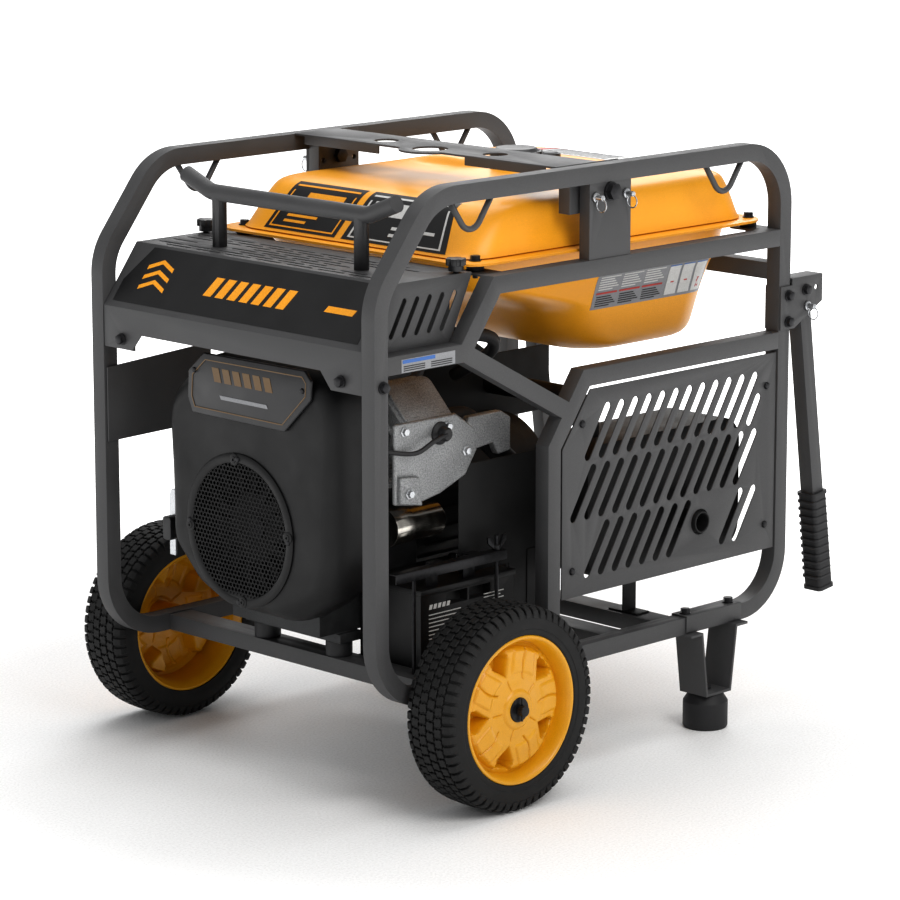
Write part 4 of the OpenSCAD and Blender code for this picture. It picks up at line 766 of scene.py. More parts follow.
def decal(name, corners, target, direction, material, body, lift=0.5, cells=24):
    """A thin printed label laid on a curved shell: a grid between four corners, thrown onto the shell."""
    a, b, c, d = (Vector(corner) * MM for corner in corners)

    def spread(s, t):
        return (a * (1 - s) + b * s) * (1 - t) + (d * (1 - s) + c * s) * t

    piece = sheet_grid(name, cells, cells, spread)
    for vertex in piece.data.vertices:
        hit, place, normal, _ = target.ray_cast(vertex.co, Vector(direction))
        if not hit:
            raise RuntimeError(name + " misses the shell it lies on")
        vertex.co = place + normal * lift * MM
    pick(piece)
    bpy.ops.object.mode_set(mode="EDIT")
    bpy.ops.mesh.select_all(action="SELECT")
    bpy.ops.mesh.normals_make_consistent(inside=False)
    bpy.ops.object.mode_set(mode="OBJECT")
    middle = piece.data.polygons[len(piece.data.polygons) // 2]
    if middle.normal.dot(Vector(direction)) > 0:
        piece.data.flip_normals()
    modify(piece, "SOLIDIFY", thickness=0.3 * MM, offset=-1.0)
    smooth(piece, 40)
    return finish_piece(piece, body, material)


def label_blocks(name, target, direction, corners, cells, body):
    """Plain colour blocks on a label. cells are (s0, s1, t0, t1, material), as fractions of the label."""
    a, b, c, d = (Vector(corner) for corner in corners)

    def at(s, t):
        return (a * (1 - s) + b * s) * (1 - t) + (d * (1 - s) + c * s) * t

    for index, (s0, s1, t0, t1, material) in enumerate(cells):
        spots = [at(s0, t0), at(s1, t0), at(s1, t1), at(s0, t1)]
        decal(f"{name}_{index}", spots, target, direction, material, body, lift=1.0, cells=6)


def frame_cells(edge, wide, material):
    """Four thin bars that follow a label's border."""
    e, w = edge, wide
    return [(e, 1 - e, e, e + w, material), (e, 1 - e, 1 - e - w, 1 - e, material),
            (e, e + w * 0.6, e, 1 - e, material), (1 - e - w * 0.6, 1 - e, e, 1 - e, material)]


def text_cells(s0, s1, t0, t1, rows, material):
    """Rows of plain bars of uneven length, where a label has its small print."""
    pitch = (t1 - t0) / rows
    return [(s0, s0 + (s1 - s0) * (0.72 + 0.28 * ((3 * k) % 4) / 3), t0 + pitch * (k + 0.25), t0
             + pitch * (k + 0.7),
             material) for k in range(rows)]


def make_tank_labels(upper, lower):
    body, slot = body_of("fuel_tank_upper"), slot_of("fuel_tank_upper")
    x = TANK_X0 - 60
    low, high = TANK_Z0 + 8, TANK_Z0 + 74
    rear = (1, 0, 0)
    far = [(x, 182, low), (x, 28, low), (x, 8, high), (x, 158, high)]
    near = [(x, 14, low), (x, -204, low), (x, -182, high), (x, -6, high)]
    decal("front_label_far", far, upper, rear, "vinyl_black", body)
    decal("front_label_near", near, upper, rear, "vinyl_black", body)
    label_blocks("front_label_far_print", upper, rear, far,
                 frame_cells(0.05, 0.03, "vinyl_amber") + text_cells(0.2, 0.62, 0.14, 0.5, 3,
                                                                     "vinyl_amber")
                 + [(0.3, 0.82, 0.64, 0.82, "vinyl_amber")], body)
    label_blocks("front_label_near_print", upper, rear, near,
                 frame_cells(0.05, 0.03, "vinyl_white") + text_cells(0.42, 0.86, 0.14, 0.42, 2,
                                                                     "vinyl_white")
                 + [(0.12, 0.7, 0.56, 0.84, "vinyl_white")], body)
    top = TANK_Z0 + 200
    gauge = mm(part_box("fuel_gauge")[1].x)
    down = (0, 0, -1)
    sheet = [(gauge + 14, -96, top), (gauge + 96, -96, top), (gauge + 96, 84, top),
             (gauge + 14, 84, top)]
    decal("top_label", sheet, upper, down, "vinyl_white", body)
    label_blocks("top_label_print", upper, down, sheet,
                 [(0.04, 0.96, 0.88, 0.97, "vinyl_red")] + text_cells(0.08, 0.92, 0.08, 0.84, 12,
                                                                      "vinyl_grey"), body)
    body, slot = body_of("fuel_tank_lower"), slot_of("fuel_tank_lower")
    y = -TANK_Y - 30
    side = [(52, y, 664), (308, y, 664), (308, y, 720), (52, y, 720)]
    inward = (0, 1, 0)
    decal("tub_label", side, lower, inward, "vinyl_grey", body)
    cells = []
    for column, (s0, s1) in enumerate(((0.02, 0.2), (0.22, 0.4), (0.42, 0.6), (0.64, 0.74), (0.76, 0.86),
                                       (0.88, 0.98))):
        if column < 3:
            cells.append((s0, s1, 0.42, 0.47, "vinyl_red"))
            cells.extend(text_cells(s0 + 0.01, s1, 0.06, 0.38, 5, "vinyl_black"))
            cells.extend(text_cells(s0 + 0.01, s1, 0.52, 0.94, 6, "vinyl_white"))
        else:
            cells.append((s0, s1, 0.08, 0.9, "vinyl_white"))
            cells.append((s0, s1, 0.86, 0.93, "vinyl_blue"))
            cells.append((s0 + 0.035, s0 + 0.065, 0.16, 0.46, "vinyl_red"))
    label_blocks("tub_label_print", lower, inward, side, cells, body)


# ---- Hood panel, badge and grille ----

SLOPE_RUN, SLOPE_DROP = 66.0, 88.0
SLOPE_LEN = math.hypot(SLOPE_RUN, SLOPE_DROP)


def on_slope(u, v, w):
    """Local axes of the hood's slope: u to the right side, v up from its lower edge, w outwards."""
    c, s = SLOPE_RUN / SLOPE_LEN, SLOPE_DROP / SLOPE_LEN
    return Vector((HOOD_LOW.x + v * c - w * s, u, HOOD_HIGH.z - SLOPE_DROP * MM + v * s + w * c))


def lifted(place, height):
    return lambda u, v, w: place(u, v, w + height * MM)


def make_hood_print():
    body, slot = body_of("hood"), slot_of("hood")
    half = mm(HOOD_HIGH.y)
    panel = [(-half + 14, 10), (half - 14, 10), (half - 14, 46), (half - 46, SLOPE_LEN - 5),
             (-half + 46, SLOPE_LEN - 5),
             (-half + 14, 46)]
    black = from_outline("hood_panel_label", panel, 0.4, lifted(on_slope, 0.15))
    finish_piece(black, body, "vinyl_black")
    shapes = []
    ink = lifted(on_slope, 0.6)
    # Three stacked chevrons near the far end, a row of slanted bars in the middle, a short bar at the
    # near end
    for k in range(3):
        v = 34 + 17 * k
        shapes.append(from_outline("hood_mark", [(168, v), (196, v + 12), (224, v), (224, v + 7),
                                                 (196, v + 19), (168, v + 7)], 0.2, ink))
    for k in range(7):
        u = 66 - 26 * k
        shapes.append(from_outline("hood_mark", slanted_bar(u, u + 17, 42, 74, -12), 0.2, ink))
    shapes.append(from_outline("hood_mark", slanted_bar(-228, -170, 50, 60, -4), 0.2, ink))
    marks = merged(shapes, "hood_panel_marks")
    finish_piece(marks, body, "vinyl_amber")


def make_badge():
    body, slot = body_of("badge_cover"), slot_of("badge_cover")
    low, high = BADGE_LOW, BADGE_HIGH
    wide, tall = mm(high.y - low.y), mm(high.z - low.z)
    face = facing_front(mm(low.x), mm(low.y), mm(low.z))
    # Cut-corner outline of the cover, as fractions of its width and height
    outline = [(wide * a, tall * b) for a, b in ((0.86, 0.98), (0.99, 0.66), (1.0, 0.25), (0.962, 0.01),
                                                 (0.212, 0.0),
                                               (0.004, 0.56), (0.0, 0.85), (0.049, 1.0))]
    cover = softened("badge_cover", "plastic", 2.0, segments=3)
    line = stripe("badge_line", outline, 9, 1.6, 0.5, lifted(face, 0.1))
    finish_piece(line, body, "vinyl_ochre")
    marks = [from_outline("badge_mark", slanted_bar(wide * 0.30 + 22 * k, wide * 0.30 + 22 * k + 15,
                                                    tall * 0.56, tall * 0.78, 6),
                          0.4, lifted(face, 0.1)) for k in range(6)]
    finish_piece(merged(marks, "badge_marks"), body, "vinyl_ochre")
    bar = from_outline("badge_bar", slanted_bar(wide * 0.34, wide * 0.72, tall * 0.3, tall * 0.36, 3),
                       0.4, lifted(face, 0.1))
    finish_piece(bar, body, "vinyl_grey")
    return cover


def make_grille():
    """A perforated disc: a six-sided cell with a hole, repeated, thickened and held in a turned ring."""
    low, high = GRILLE_LOW, GRILLE_HIGH
    radius = mm(high.z - low.z) / 2
    place = (Matrix.Translation((high.x, (low.y + high.y) / 2, (low.z + high.z) / 2))
             @ Matrix.Rotation(math.radians(-90), 4, "Y"))
    pitch = mm(sizes().hole_pitch)
    deselect()
    bpy.ops.mesh.primitive_circle_add(vertices=12, radius=pitch / math.sqrt(3) * MM, fill_type="NGON")
    cell = bpy.context.object
    for index, vertex in enumerate(cell.data.vertices):
        if index % 2:
            vertex.co *= math.cos(math.radians(30))
    bpy.ops.object.mode_set(mode="EDIT")
    bpy.ops.mesh.select_all(action="SELECT")
    bpy.ops.mesh.inset(thickness=pitch * 0.135 * MM, depth=0)
    bpy.ops.mesh.delete(type="FACE")
    bpy.ops.object.mode_set(mode="OBJECT")
    reach = radius - 13
    cells = []
    # Six-sided cells: a corner points along u, so columns are 1.5 corner radii apart
    column, row = pitch / math.sqrt(3) * 1.5, pitch
    for i in range(-int(reach / column) - 1, int(reach / column) + 2):
        for j in range(-int(reach / row) - 1, int(reach / row) + 2):
            u, v = i * column, (j + (i % 2) / 2) * row
            if math.hypot(u, v) < reach:
                cells.append(copied(cell, Matrix.Translation((u * MM, v * MM, 0))))
    bpy.data.objects.remove(cell)
    mesh = merged(cells, "grille_mesh")
    pick(mesh)
    bpy.ops.object.mode_set(mode="EDIT")
    bpy.ops.mesh.select_all(action="SELECT")
    bpy.ops.mesh.remove_doubles(threshold=0.0002)
    bpy.ops.mesh.normals_make_consistent(inside=False)
    bpy.ops.object.mode_set(mode="OBJECT")
    modify(mesh, "SOLIDIFY", thickness=1.2 * MM, offset=0.0)
    # The pressed mesh is a shallow dome
    for vertex in mesh.data.vertices:
        r = mm(math.hypot(vertex.co.x, vertex.co.y))
        vertex.co.z += (2.2 + 1.6 * (1 - (r / radius) ** 2)) * MM
    settle(mesh, place)
    ring = turned("grille_ring", [(radius - 14, 0.4), (radius - 14, 2.6), (radius - 12, 3.9),
                                  (radius - 3, 3.9), (radius, 2.2), (radius, 0.4)], place, steps=120)
    screws = []
    for k in range(4):
        spot = place @ Matrix.Rotation(math.radians(90 * k + 4), 4,
                                       "Z") @ Matrix.Translation(((radius - 9) * MM, 0, 0))
        screws.append(turned("grille_screw", [(0, 2), (9, 2), (9, 4.4), (7, 5.2), (5, 5.2), (4.6, 6.2),
                                              (2, 6.4), (1.8, 5), (0, 5)], spot, steps=24))
    grille = merged([mesh, ring] + screws, "intake_grille_finish")
    smooth(grille, 35)
    finish_piece(grille, body_of("intake_grille"), "shroud", ["intake_grille"])


# ---- Engine dressing ----

def make_engine_dressing():
    """The left bank's cowl with its foot, spark plug boot, lead and bolts, and the bracket behind it."""
    crank = mm(GRILLE_LOW.z + GRILLE_HIGH.z) / 2
    cover_low, cover_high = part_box("rocker_covers")
    bank = mm(cover_low.x + cover_high.x) / 2
    body = body_of("cylinders")
    cowl = [(bank - 78, crank + 176), (bank + 46, crank + 176), (bank + 84, crank + 150),
            (bank + 90, crank + 116),
            (bank + 66, crank + 82), (bank + 14, crank + 62), (bank - 40, crank + 52),
            (bank - 78, crank + 58)]
    panel = from_outline("cylinder_cowl", cowl, 9, facing_left(0, -219, 0), 3.5, 3)
    smooth(panel, 40)
    finish_piece(panel, body, "cast")
    lip = from_outline("cowl_foot", [(bank - 74, crank + 60), (bank - 30, crank + 52),
                                     (bank - 36, crank + 96), (bank - 74, crank + 100)],
                       9, facing_left(0, -227, 0), 2.5, 3)
    smooth(lip, 40)
    finish_piece(lip, body, "cast")
    turn = Matrix.Rotation(math.radians(90), 4, "X")
    boot = turned("plug_boot", [(0, -6), (17, -6), (17, 2), (14, 5), (11, 6), (10.4, 15), (8, 18),
                                (0, 18)],
                  Matrix.Translation(((bank + 12) * MM, -0.228, (crank + 152) * MM)) @ turn, steps=36)
    smooth(boot, 40)
    lead = hose("plug_lead", [(bank + 10, -244, crank + 152), (bank - 16, -247, crank + 150),
                              (bank - 38, -244, crank + 134),
                              (bank - 58, -240, crank + 132), (bank - 80, -230, crank + 136),
                              (bank - 98, -214, crank + 140)], 7)
    smooth(lead, 50)
    finish_piece(merged([boot, lead], "plug_boot_and_lead"), body, "rubber")
    bolts = []
    for x, y, z in ((bank + 26, -229, crank + 160), (bank - 60, -228, crank + 164),
                    (bank + 66, -228, crank + 118),
                    (bank - 58, -236, crank + 74)):
        bolts.append(turned("cowl_bolt", [(0, 0), (8, 0), (8, 1.6), (5.6, 2.2), (5.2, 6.4), (0, 6.8)],
                            Matrix.Translation((x * MM, y * MM, z * MM)) @ turn, steps=6))
    finish_piece(merged(bolts, "cowl_bolts"), body, "zinc")
    rear = from_outline("rear_bank_bracket", [(bank + 98, crank + 146), (bank + 104, crank + 158),
                                              (bank + 172, crank + 158),
                                              (bank + 192, crank + 146), (bank + 192, crank + 96),
                                              (bank + 166, crank + 92),
                                              (bank + 156, crank + 112), (bank + 120, crank + 108)],
                        15, facing_left(0, -182, 0), 3, 3)
    smooth(rear, 40)
    finish_piece(rear, body, "cast")


def shroud_reach(angle, half, top, low):
    """Distance from the fan's axis to the shroud's outline, its cut corners rounded by averaging."""
    shift = -17
    outline = [(0.56 * half, top), (half, top - 66), (half, -40), (0.68 * half, low + 26),
               (0.36 * half, low),
               (-0.42 * half, low), (-0.9 * half, low + 52), (-half, -20), (-half, top - 34),
               (-0.88 * half, top)]
    outline = [(u + shift, v) for u, v in outline]
    total, weight = 0.0, 0.0
    for step in range(-4, 5):
        a = angle + math.radians(2.2 * step)
        dx, dy = math.cos(a), math.sin(a)
        best = 1000.0
        for (ax, ay), (bx, by) in zip(outline, outline[1:] + outline[:1]):
            ex, ey = bx - ax, by - ay
            cross = dx * ey - dy * ex
            if abs(cross) > 1e-9:
                reach, share = (ax * ey - ay * ex) / cross, (ax * dy - ay * dx) / cross
                if reach > 0 and -0.001 <= share <= 1.001:
                    best = min(best, reach)
        bell = math.exp(-step * step / 8)
        total += best * bell
        weight += bell
    return total / weight


def make_shroud():
    """The blower's moulding: wall, round edge, and a flat face that ends in the grille's opening; behind
    the fan, a black plate of painted shade.
    """
    low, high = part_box("blower_shroud")
    middle = (GRILLE_LOW.z + GRILLE_HIGH.z) / 2
    half = mm(high.y - low.y) / 2
    top, bottom = mm(high.z - middle), mm(low.z - middle)
    deep = mm(high.x - low.x)
    opening = mm(GRILLE_HIGH.z - GRILLE_LOW.z) / 2 - 8
    # Distance behind the front face, and how far the wall stands in there
    rim = [(deep, 0), (48, 0), (34, 1), (24, 4), (15, 9), (8, 15), (3.5, 21), (1.2, 27), (0, 34)]
    rings = len(rim) + 4
    columns = 180
    reach = [shroud_reach(math.tau * k / columns, half, top, bottom) for k in range(columns + 1)]

    def skin(s, t):
        column, ring = round(s * columns), round(t * (rings - 1))
        angle = math.tau * column / columns
        edge = reach[column]
        if ring < len(rim):
            back, inset = rim[ring]
            radius = edge - inset
        else:
            share = (ring - len(rim) + 1) / (rings - len(rim))
            back, radius = 0, (edge - rim[-1][1]) * (1 - share) + opening * share
        return Vector((low.x + back * MM, radius * math.cos(angle) * MM, middle
                       + radius * math.sin(angle) * MM))

    shell = sheet_grid("blower_shroud_finish", columns, rings - 1, skin)
    pick(shell)
    bpy.ops.object.mode_set(mode="EDIT")
    bpy.ops.mesh.select_all(action="SELECT")
    bpy.ops.mesh.remove_doubles(threshold=0.00002)
    bpy.ops.mesh.normals_make_consistent(inside=False)
    bpy.ops.object.mode_set(mode="OBJECT")
    front = max(shell.data.polygons, key=lambda face: -face.center.x)
    if front.normal.x > 0:
        shell.data.flip_normals()
    modify(shell, "SOLIDIFY", thickness=3 * MM, offset=-1.0)
    smooth(shell, 50)
    finish_piece(shell, body_of("blower_shroud"), "shroud", ["blower_shroud"])

    # Painted shade: a stove-black plate behind the fan stands in for the shade inside the shroud, so the
    # grille's holes show dark.
    def back(s, t):
        column = round(s * columns)
        angle = math.tau * column / columns
        radius = 79 * (1 - t) + (reach[column] - 4) * t
        return Vector((high.x - 5 * MM, radius * math.cos(angle) * MM, middle
                       + radius * math.sin(angle) * MM))

    plate = sheet_grid("shroud_painted_shade_plate", columns, 4, back)
    pick(plate)
    bpy.ops.object.mode_set(mode="EDIT")
    bpy.ops.mesh.select_all(action="SELECT")
    bpy.ops.mesh.remove_doubles(threshold=0.00002)
    bpy.ops.object.mode_set(mode="OBJECT")
    modify(plate, "SOLIDIFY", thickness=2 * MM, offset=0.0)
    finish_piece(plate, body_of("blower_shroud"), "stove")


def make_ducting():
    """The black intake elbow and breather hose, and two stove-black sheets of painted shade: one behind
    the hoses, one beside the battery tray.
    """
    elbow = hose("intake_elbow", [(-330, -60, 560), (-270, -70, 556), (-206, -72, 566), (-166, -50, 592),
                                  (-120, 0, 606)], 30)
    finish_piece(elbow, body_of("cylinders"), "rubber")
    breather = hose("breather_hose", [(-250, -150, 640), (-196, -158, 652), (-130, -160, 650),
                                      (-84, -140, 622), (-70, -90, 590), (-70, -30, 560)], 20)
    finish_piece(breather, body_of("cylinders"), "rubber")
    # Painted shade: a black sheet behind the engine fills the dark space there.
    sheet = from_outline("painted_shade_sheet", [(-110, 470), (170, 470), (170, 574), (40, 574), (-60, 640),
                                        (-110, 640)], 2, facing_left(0, 0, 0), 0.8)
    finish_piece(sheet, body_of("cylinders"), "stove")
    # Painted shade: a black strip beside the battery tray fills the dark space there.
    tray_low, tray_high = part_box("battery_tray")
    edge, foot = mm(tray_high.x), mm(tray_low.z)
    shade_strip = from_outline("tray_painted_shade_strip", [(edge - 22, foot + 4), (edge, foot + 4), (edge, foot + 160),
                                        (edge - 22, foot + 160)],
                         2, facing_left(0, mm(tray_low.y) + 74, 0), 0.8)
    finish_piece(shade_strip, body_of("battery_tray"), "stove")


def make_shroud_dressing():
    body, slot = body_of("blower_shroud"), slot_of("blower_shroud")
    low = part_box("blower_shroud")[0]
    crank = mm(GRILLE_LOW.z + GRILLE_HIGH.z) / 2
    # A long strip stands beside the shroud on the control side, with a black connector on it
    strip = from_outline("side_strip", [(0, 0), (13, 0), (13, 92), (8, 102), (0, 102)], 3,
                         facing_front(mm(low.x) + 30, 176, crank - 72), 0.8)
    finish_piece(strip, body, "zinc")
    clip = from_outline("side_clip", rounded_outline(-6, 12, 26, 62, 5), 14,
                        facing_front(mm(low.x) + 26, 176, crank - 72), 1.6)
    smooth(clip, 40)
    finish_piece(clip, body, "plastic")
    # Painted shade: a grey sheet on the control side, between the front post and the shroud, fills the
    # dark gap there.
    plate = from_outline("side_shade_sheet", [(-FRONT_X - 3, 474), (-FRONT_X - 210, 478),
                                            (-FRONT_X - 210, 600),
                                            (-FRONT_X - 3, 588)], 2.5, facing_right(0, SIDE_Y - 30, 0),
                                            0.8)
    finish_piece(plate, body_of("side_loop_right"), "powder")
    # Black sheets of painted shade close the space under the hood behind its side louvres
    for side, out in (("left", facing_left), ("right", facing_right)):
        s = 1 if side == "left" else -1
        shade_sheet = from_outline("hood_shade_sheet_" + side,
                              [(s * (FRONT_X + 44), 652), (s * (FRONT_X + 214), 652),
                                                      (s * (FRONT_X + 214), 766), (s * (FRONT_X + 80),
                                                              766)], 2, out(0, -s * 236, 0), 0.6)
        finish_piece(shade_sheet, body_of("hood"), "stove")
    rail = from_outline("rail_label", [(FRONT_X + 52, 650), (FRONT_X + 158, 650), (FRONT_X + 158, 669),
                                       (FRONT_X + 52, 669)], 0.4, facing_left(0, -SIDE_Y - 0.1, 0))
    finish_piece(rail, body_of("side_loop_left"), "vinyl_grey")
    blue = from_outline("rail_label_band", [(FRONT_X + 54, 663), (FRONT_X + 118, 663),
                                            (FRONT_X + 118, 668), (FRONT_X + 54, 668)],
                        0.3, facing_left(0, -SIDE_Y - 0.6, 0))
    finish_piece(blue, body_of("side_loop_left"), "vinyl_blue")
    rows = [from_outline("rail_label_row", [(x, z), (x + 42, z), (x + 42, z + 1.4), (x, z + 1.4)], 0.3,
                         facing_left(0, -SIDE_Y - 0.6, 0))
            for x in (FRONT_X + 56, FRONT_X + 110) for z in (652, 655, 658)]
    finish_piece(merged(rows, "rail_label_rows"), body_of("side_loop_left"), "vinyl_black")


def make_battery_label():
    body, slot = body_of("battery"), slot_of("battery")
    x0, z1 = mm(BATTERY_LOW.x), mm(BATTERY_HIGH.z)
    face = facing_left(x0, mm(BATTERY_LOW.y), z1)
    # The wall stands in from the lid by 2 mm
    ink = lifted(face, -1.9)
    bars = [from_outline("battery_bar", slanted_bar(18 + 9 * k, 24 + 9 * k, -41, -34, 2), 0.4,
                         ink) for k in range(5)]
    for k in range(8):
        length = 66 - 9 * (k % 3)
        bars.append(from_outline("battery_bar", slanted_bar(18, 18 + length, -50 - 6 * k, -48.5 - 6 * k,
                                                            0), 0.4, ink))
    bars.append(from_outline("battery_bar", slanted_bar(18, 46, -108, -102, 1), 0.4, ink))
    for k in range(6):
        bars.append(from_outline("battery_bar", slanted_bar(132, 174 - 7 * (k % 2), -38 - 5 * k,
                                                            -36.6 - 5 * k, 0), 0.4, ink))
    finish_piece(merged(bars, "battery_print"), body, "vinyl_white")


def make_grips():
    """Moulded grips: the sleeve with raised slanted ribs between its end collars."""
    for side in ("left", "right"):
        node = "handle_grip_" + side
        low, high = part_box(node)
        softened(node, "rubber", 2.0, segments=3)
        arm_low, arm_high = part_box("handle_arm_" + side)
        top = Vector((arm_low.x + 12.5 * MM, (low.y + high.y) / 2, arm_high.z))
        foot = Vector((high.x - 20 * MM, top.y, low.z))
        lean = math.atan2(foot.x - top.x, top.z - foot.z)
        ribs = []
        for k in range(11):
            reach = 0.022 + 0.0125 * k
            centre_spot = Vector((foot.x - math.sin(lean) * reach, foot.y, foot.z
                                  + math.cos(lean) * reach))
            place = (Matrix.Translation(centre_spot) @ Matrix.Rotation(-lean, 4, "Y"))
            ribs.append(from_outline("grip_rib", rounded_outline(-18.1, 18.1, -18.1, 18.1, 7, 4), 4.5,
                                     place, 1.2))
        rib = merged(ribs, "grip_ribs_" + side)
        smooth(rib, 40)
        finish_piece(rib, body_of(node), "rubber")


def make_control_face():
    """The control panel's face: a border line, a meter window and small breakers."""
    body, slot = body_of("control_panel"), slot_of("control_panel")
    low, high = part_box("control_panel")
    out = high.y
    wide, tall = mm(high.x - low.x), mm(high.z - low.z)
    face = facing_right(mm(high.x), mm(out), mm(low.z))
    line = stripe("control_line", rounded_outline(0, wide, 0, tall, 10), 10, 1.4, 0.4, face)
    finish_piece(line, body, "vinyl_amber")
    window = from_outline("control_meter", rounded_outline(wide - 150, wide - 86, tall - 62, tall - 30,
                                                           5), 2.4, face, 0.8)
    finish_piece(window, body, "vinyl_grey")
    caps = []
    for k in range(5):
        caps.append(turned("breaker", [(0, 0), (9, 0), (9, 2), (6, 3.4), (5.6, 6), (0, 6.4)],
                           Matrix.Translation(((mm(low.x) + 40 + 56 * k) * MM, out, high.z - 0.028)) @
                           Matrix.Rotation(math.radians(-90), 4, "X"), steps=24))
    finish_piece(merged(caps, "breakers"), body, "plastic")


# ---- Pieces ----

STEELWORK = {
    "side_loop_left": "tube", "side_loop_right": "tube", "inner_rails_left": "edge",
    "inner_rails_right": "edge",
    "cross_members": "edge", "lifting_bracket": "edge", "foot_brackets": "edge",
    "handle_brackets": "edge",
    "hood": "edge", "side_panel": "edge", "handle_arm_left": "tube", "handle_arm_right": "tube",
}


class OBJECT_OT_generator_steelwork(bpy.types.Operator):
    """Breaks the edges of the frame, its brackets and its panels and powder coats them"""
    bl_idname = "object.generator_steelwork"
    bl_label = "Steelwork"

    def execute(self, context):
        for node, kind in STEELWORK.items():
            width = sizes().tube_edge if kind == "tube" else sizes().edge
            softened(node, "powder", width / MM, segments=3 if kind == "tube" else 2)
        for node in ("tie_hooks", "grab_handle"):
            softened(node, "powder", 0, crease=60)
        make_hood_print()
        return {"FINISHED"}


class OBJECT_OT_generator_hardware(bpy.types.Operator):
    """Finishes bolts, pins, screws, washers and the axle"""
    bl_idname = "object.generator_hardware"
    bl_label = "Hardware"

    def execute(self, context):
        for node in ("flange_bolts", "panel_screws", "lifting_bolts"):
            softened(node, "oxide", 0.7, segments=2)
        for node in ("axle", "wheel_retainers", "battery_hold_down", "wing_nut"):
            softened(node, "oxide", 0.4, segments=2)
        for node in ("lock_pin_left", "lock_pin_right", "lift_pin_left_front", "lift_pin_left_rear",
                     "lift_pin_right_front", "lift_pin_right_rear"):
            softened(node, "zinc", 0.4, segments=2)
        for node in ("hood_knob_left", "hood_knob_right", "fuel_cap", "fuel_gauge", "outlets",
                     "control_panel"):
            softened(node, "plastic", 1.0, segments=2)
        softened("start_button", "red", 1.5, segments=3)
        make_control_face()
        return {"FINISHED"}


class OBJECT_OT_generator_engine(bpy.types.Operator):
    """Finishes the castings, the starter, the exhaust and the alternator"""
    bl_idname = "object.generator_engine"
    bl_label = "Engine"

    def execute(self, context):
        for node, material, width in (("crankcase", "cast_dull", 4), ("cylinders", "cast", 0.8),
                                      ("rocker_covers", "cast", 9),
                                      ("flywheel_fan", "stove", 0.8), ("battery_tray", "stove", 0.8)):
            softened(node, material, width, segments=3)
        softened("starter_motor", "polished", 1.5, segments=3)
        softened("crankshaft", "oxide", 1.0)
        softened("alternator", "stove", 2.0)
        softened("muffler", "stove", 6.0, segments=4)
        softened("exhaust_pipes", "stove", 0, crease=50)
        softened("air_cleaner", "plastic", 4.0, segments=3)
        make_shroud()
        make_badge()
        make_grille()
        make_engine_dressing()
        make_ducting()
        make_shroud_dressing()
        make_battery_label()
        make_grips()
        softened("battery", "battery", 2.0, segments=3)
        for node in ("engine_mounts", "tank_bushings", "rubber_feet"):
            softened(node, "rubber", 1.5, segments=3)
        return {"FINISHED"}


class OBJECT_OT_generator_tank(bpy.types.Operator):
    """Finishes the two pressed shells of the fuel tank"""
    bl_idname = "object.generator_tank"
    bl_label = "Fuel tank"

    def execute(self, context):
        make_tank_labels(*make_tank())
        return {"FINISHED"}


class OBJECT_OT_generator_wheels(bpy.types.Operator):
    """Finishes the rims and tyres"""
    bl_idname = "object.generator_wheels"
    bl_label = "Wheels"

    def execute(self, context):
        for side in ("left", "right"):
            make_rim(side)
            make_tyre(side)
            make_hub_washer(side)
        return {"FINISHED"}


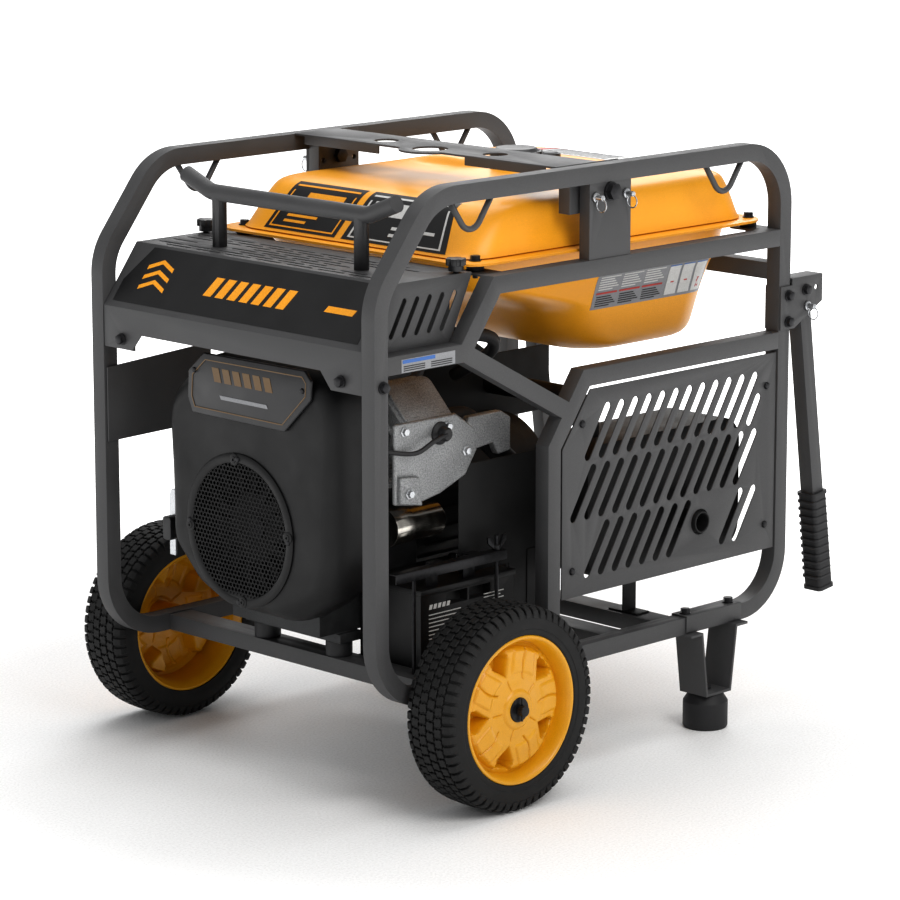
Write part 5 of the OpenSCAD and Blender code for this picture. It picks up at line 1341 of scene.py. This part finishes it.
class OBJECT_OT_generator_stage(bpy.types.Operator):
    """Sets up the paper floor, the softboxes and the camera"""
    bl_idname = "object.generator_stage"
    bl_label = "Stage"

    def execute(self, context):
        deselect()
        bpy.ops.mesh.primitive_plane_add(size=60)
        floor = bpy.context.object
        floor.name = "paper_floor"
        dress(floor, "paper")
        middle = centre("side_loop_left")
        camera_data = bpy.data.cameras.new("camera")
        camera_data.lens = 151.06
        camera_data.sensor_width = 36
        camera = bpy.data.objects.new("camera", camera_data)
        camera.location = (middle.x - 4.0127, -4.0079, 1.6376)
        camera.rotation_euler = (math.radians(90 - 11.9635), 0, math.radians(-45.08))
        context.scene.collection.objects.link(camera)
        context.scene.camera = camera
        for name, place, size, power, colour in (
                ("key_softbox", (-0.6, -3.6, 3.4), 2.4, 78, tuple(context.scene.generator_colours.key)),
                ("top_softbox", (0.6, 0.4, 4.2), 3.6, 88, (1, 1, 1)),
                ("end_softbox", (-4.2, 0.6, 2.0), 2.2, 9, (0.97, 0.985, 1)),
                ("rear_softbox", (3.2, 2.6, 2.8), 2.4, 48, (1, 1, 1))):
            light = bpy.data.lights.new(name, "AREA")
            light.shape = "SQUARE"
            light.size = size
            light.energy = power
            light.color = colour
            lamp = bpy.data.objects.new(name, light)
            lamp.location = place
            lamp.rotation_euler = (Vector((0, 0, 0.45)) - Vector(place)).to_track_quat("-Z",
                    "Y").to_euler()
            context.scene.collection.objects.link(lamp)
        world = bpy.data.worlds.new("studio")
        world.use_nodes = True
        world.node_tree.nodes["Background"].inputs["Color"].default_value = (1, 1, 1, 1)
        world.node_tree.nodes["Background"].inputs["Strength"].default_value = 0.36
        context.scene.world = world
        context.scene.view_settings.view_transform = "Standard"
        context.scene.view_settings.look = "Medium High Contrast"
        return {"FINISHED"}


STEPS = (OBJECT_OT_generator_stage, OBJECT_OT_generator_steelwork, OBJECT_OT_generator_hardware,
         OBJECT_OT_generator_engine, OBJECT_OT_generator_tank, OBJECT_OT_generator_wheels)


class VIEW3D_PT_generator(bpy.types.Panel):
    """Shows the generator's settings and a button for each finishing step"""
    bl_label = "Generator"
    bl_idname = "VIEW3D_PT_generator"
    bl_space_type = "VIEW_3D"
    bl_region_type = "UI"
    bl_category = "Generator"

    def draw(self, context):
        for group in (context.scene.generator_sizes, context.scene.generator_colours):
            for name in group.__annotations__:
                self.layout.prop(group, name)
        for step in STEPS:
            self.layout.operator(step.bl_idname)


CLASSES = (GeneratorSizes, GeneratorColours) + STEPS + (VIEW3D_PT_generator,)


def register():
    for cls in CLASSES:
        bpy.utils.register_class(cls)
    bpy.types.Scene.generator_sizes = PointerProperty(type=GeneratorSizes)
    bpy.types.Scene.generator_colours = PointerProperty(type=GeneratorColours)


def unregister():
    del bpy.types.Scene.generator_colours
    del bpy.types.Scene.generator_sizes
    for cls in reversed(CLASSES):
        bpy.utils.unregister_class(cls)


def main():
    register()
    make_materials()
    for step in STEPS:
        getattr(bpy.ops.object, step.bl_idname.split(".")[1])()
    deselect()


if __name__ == "__main__":
    main()
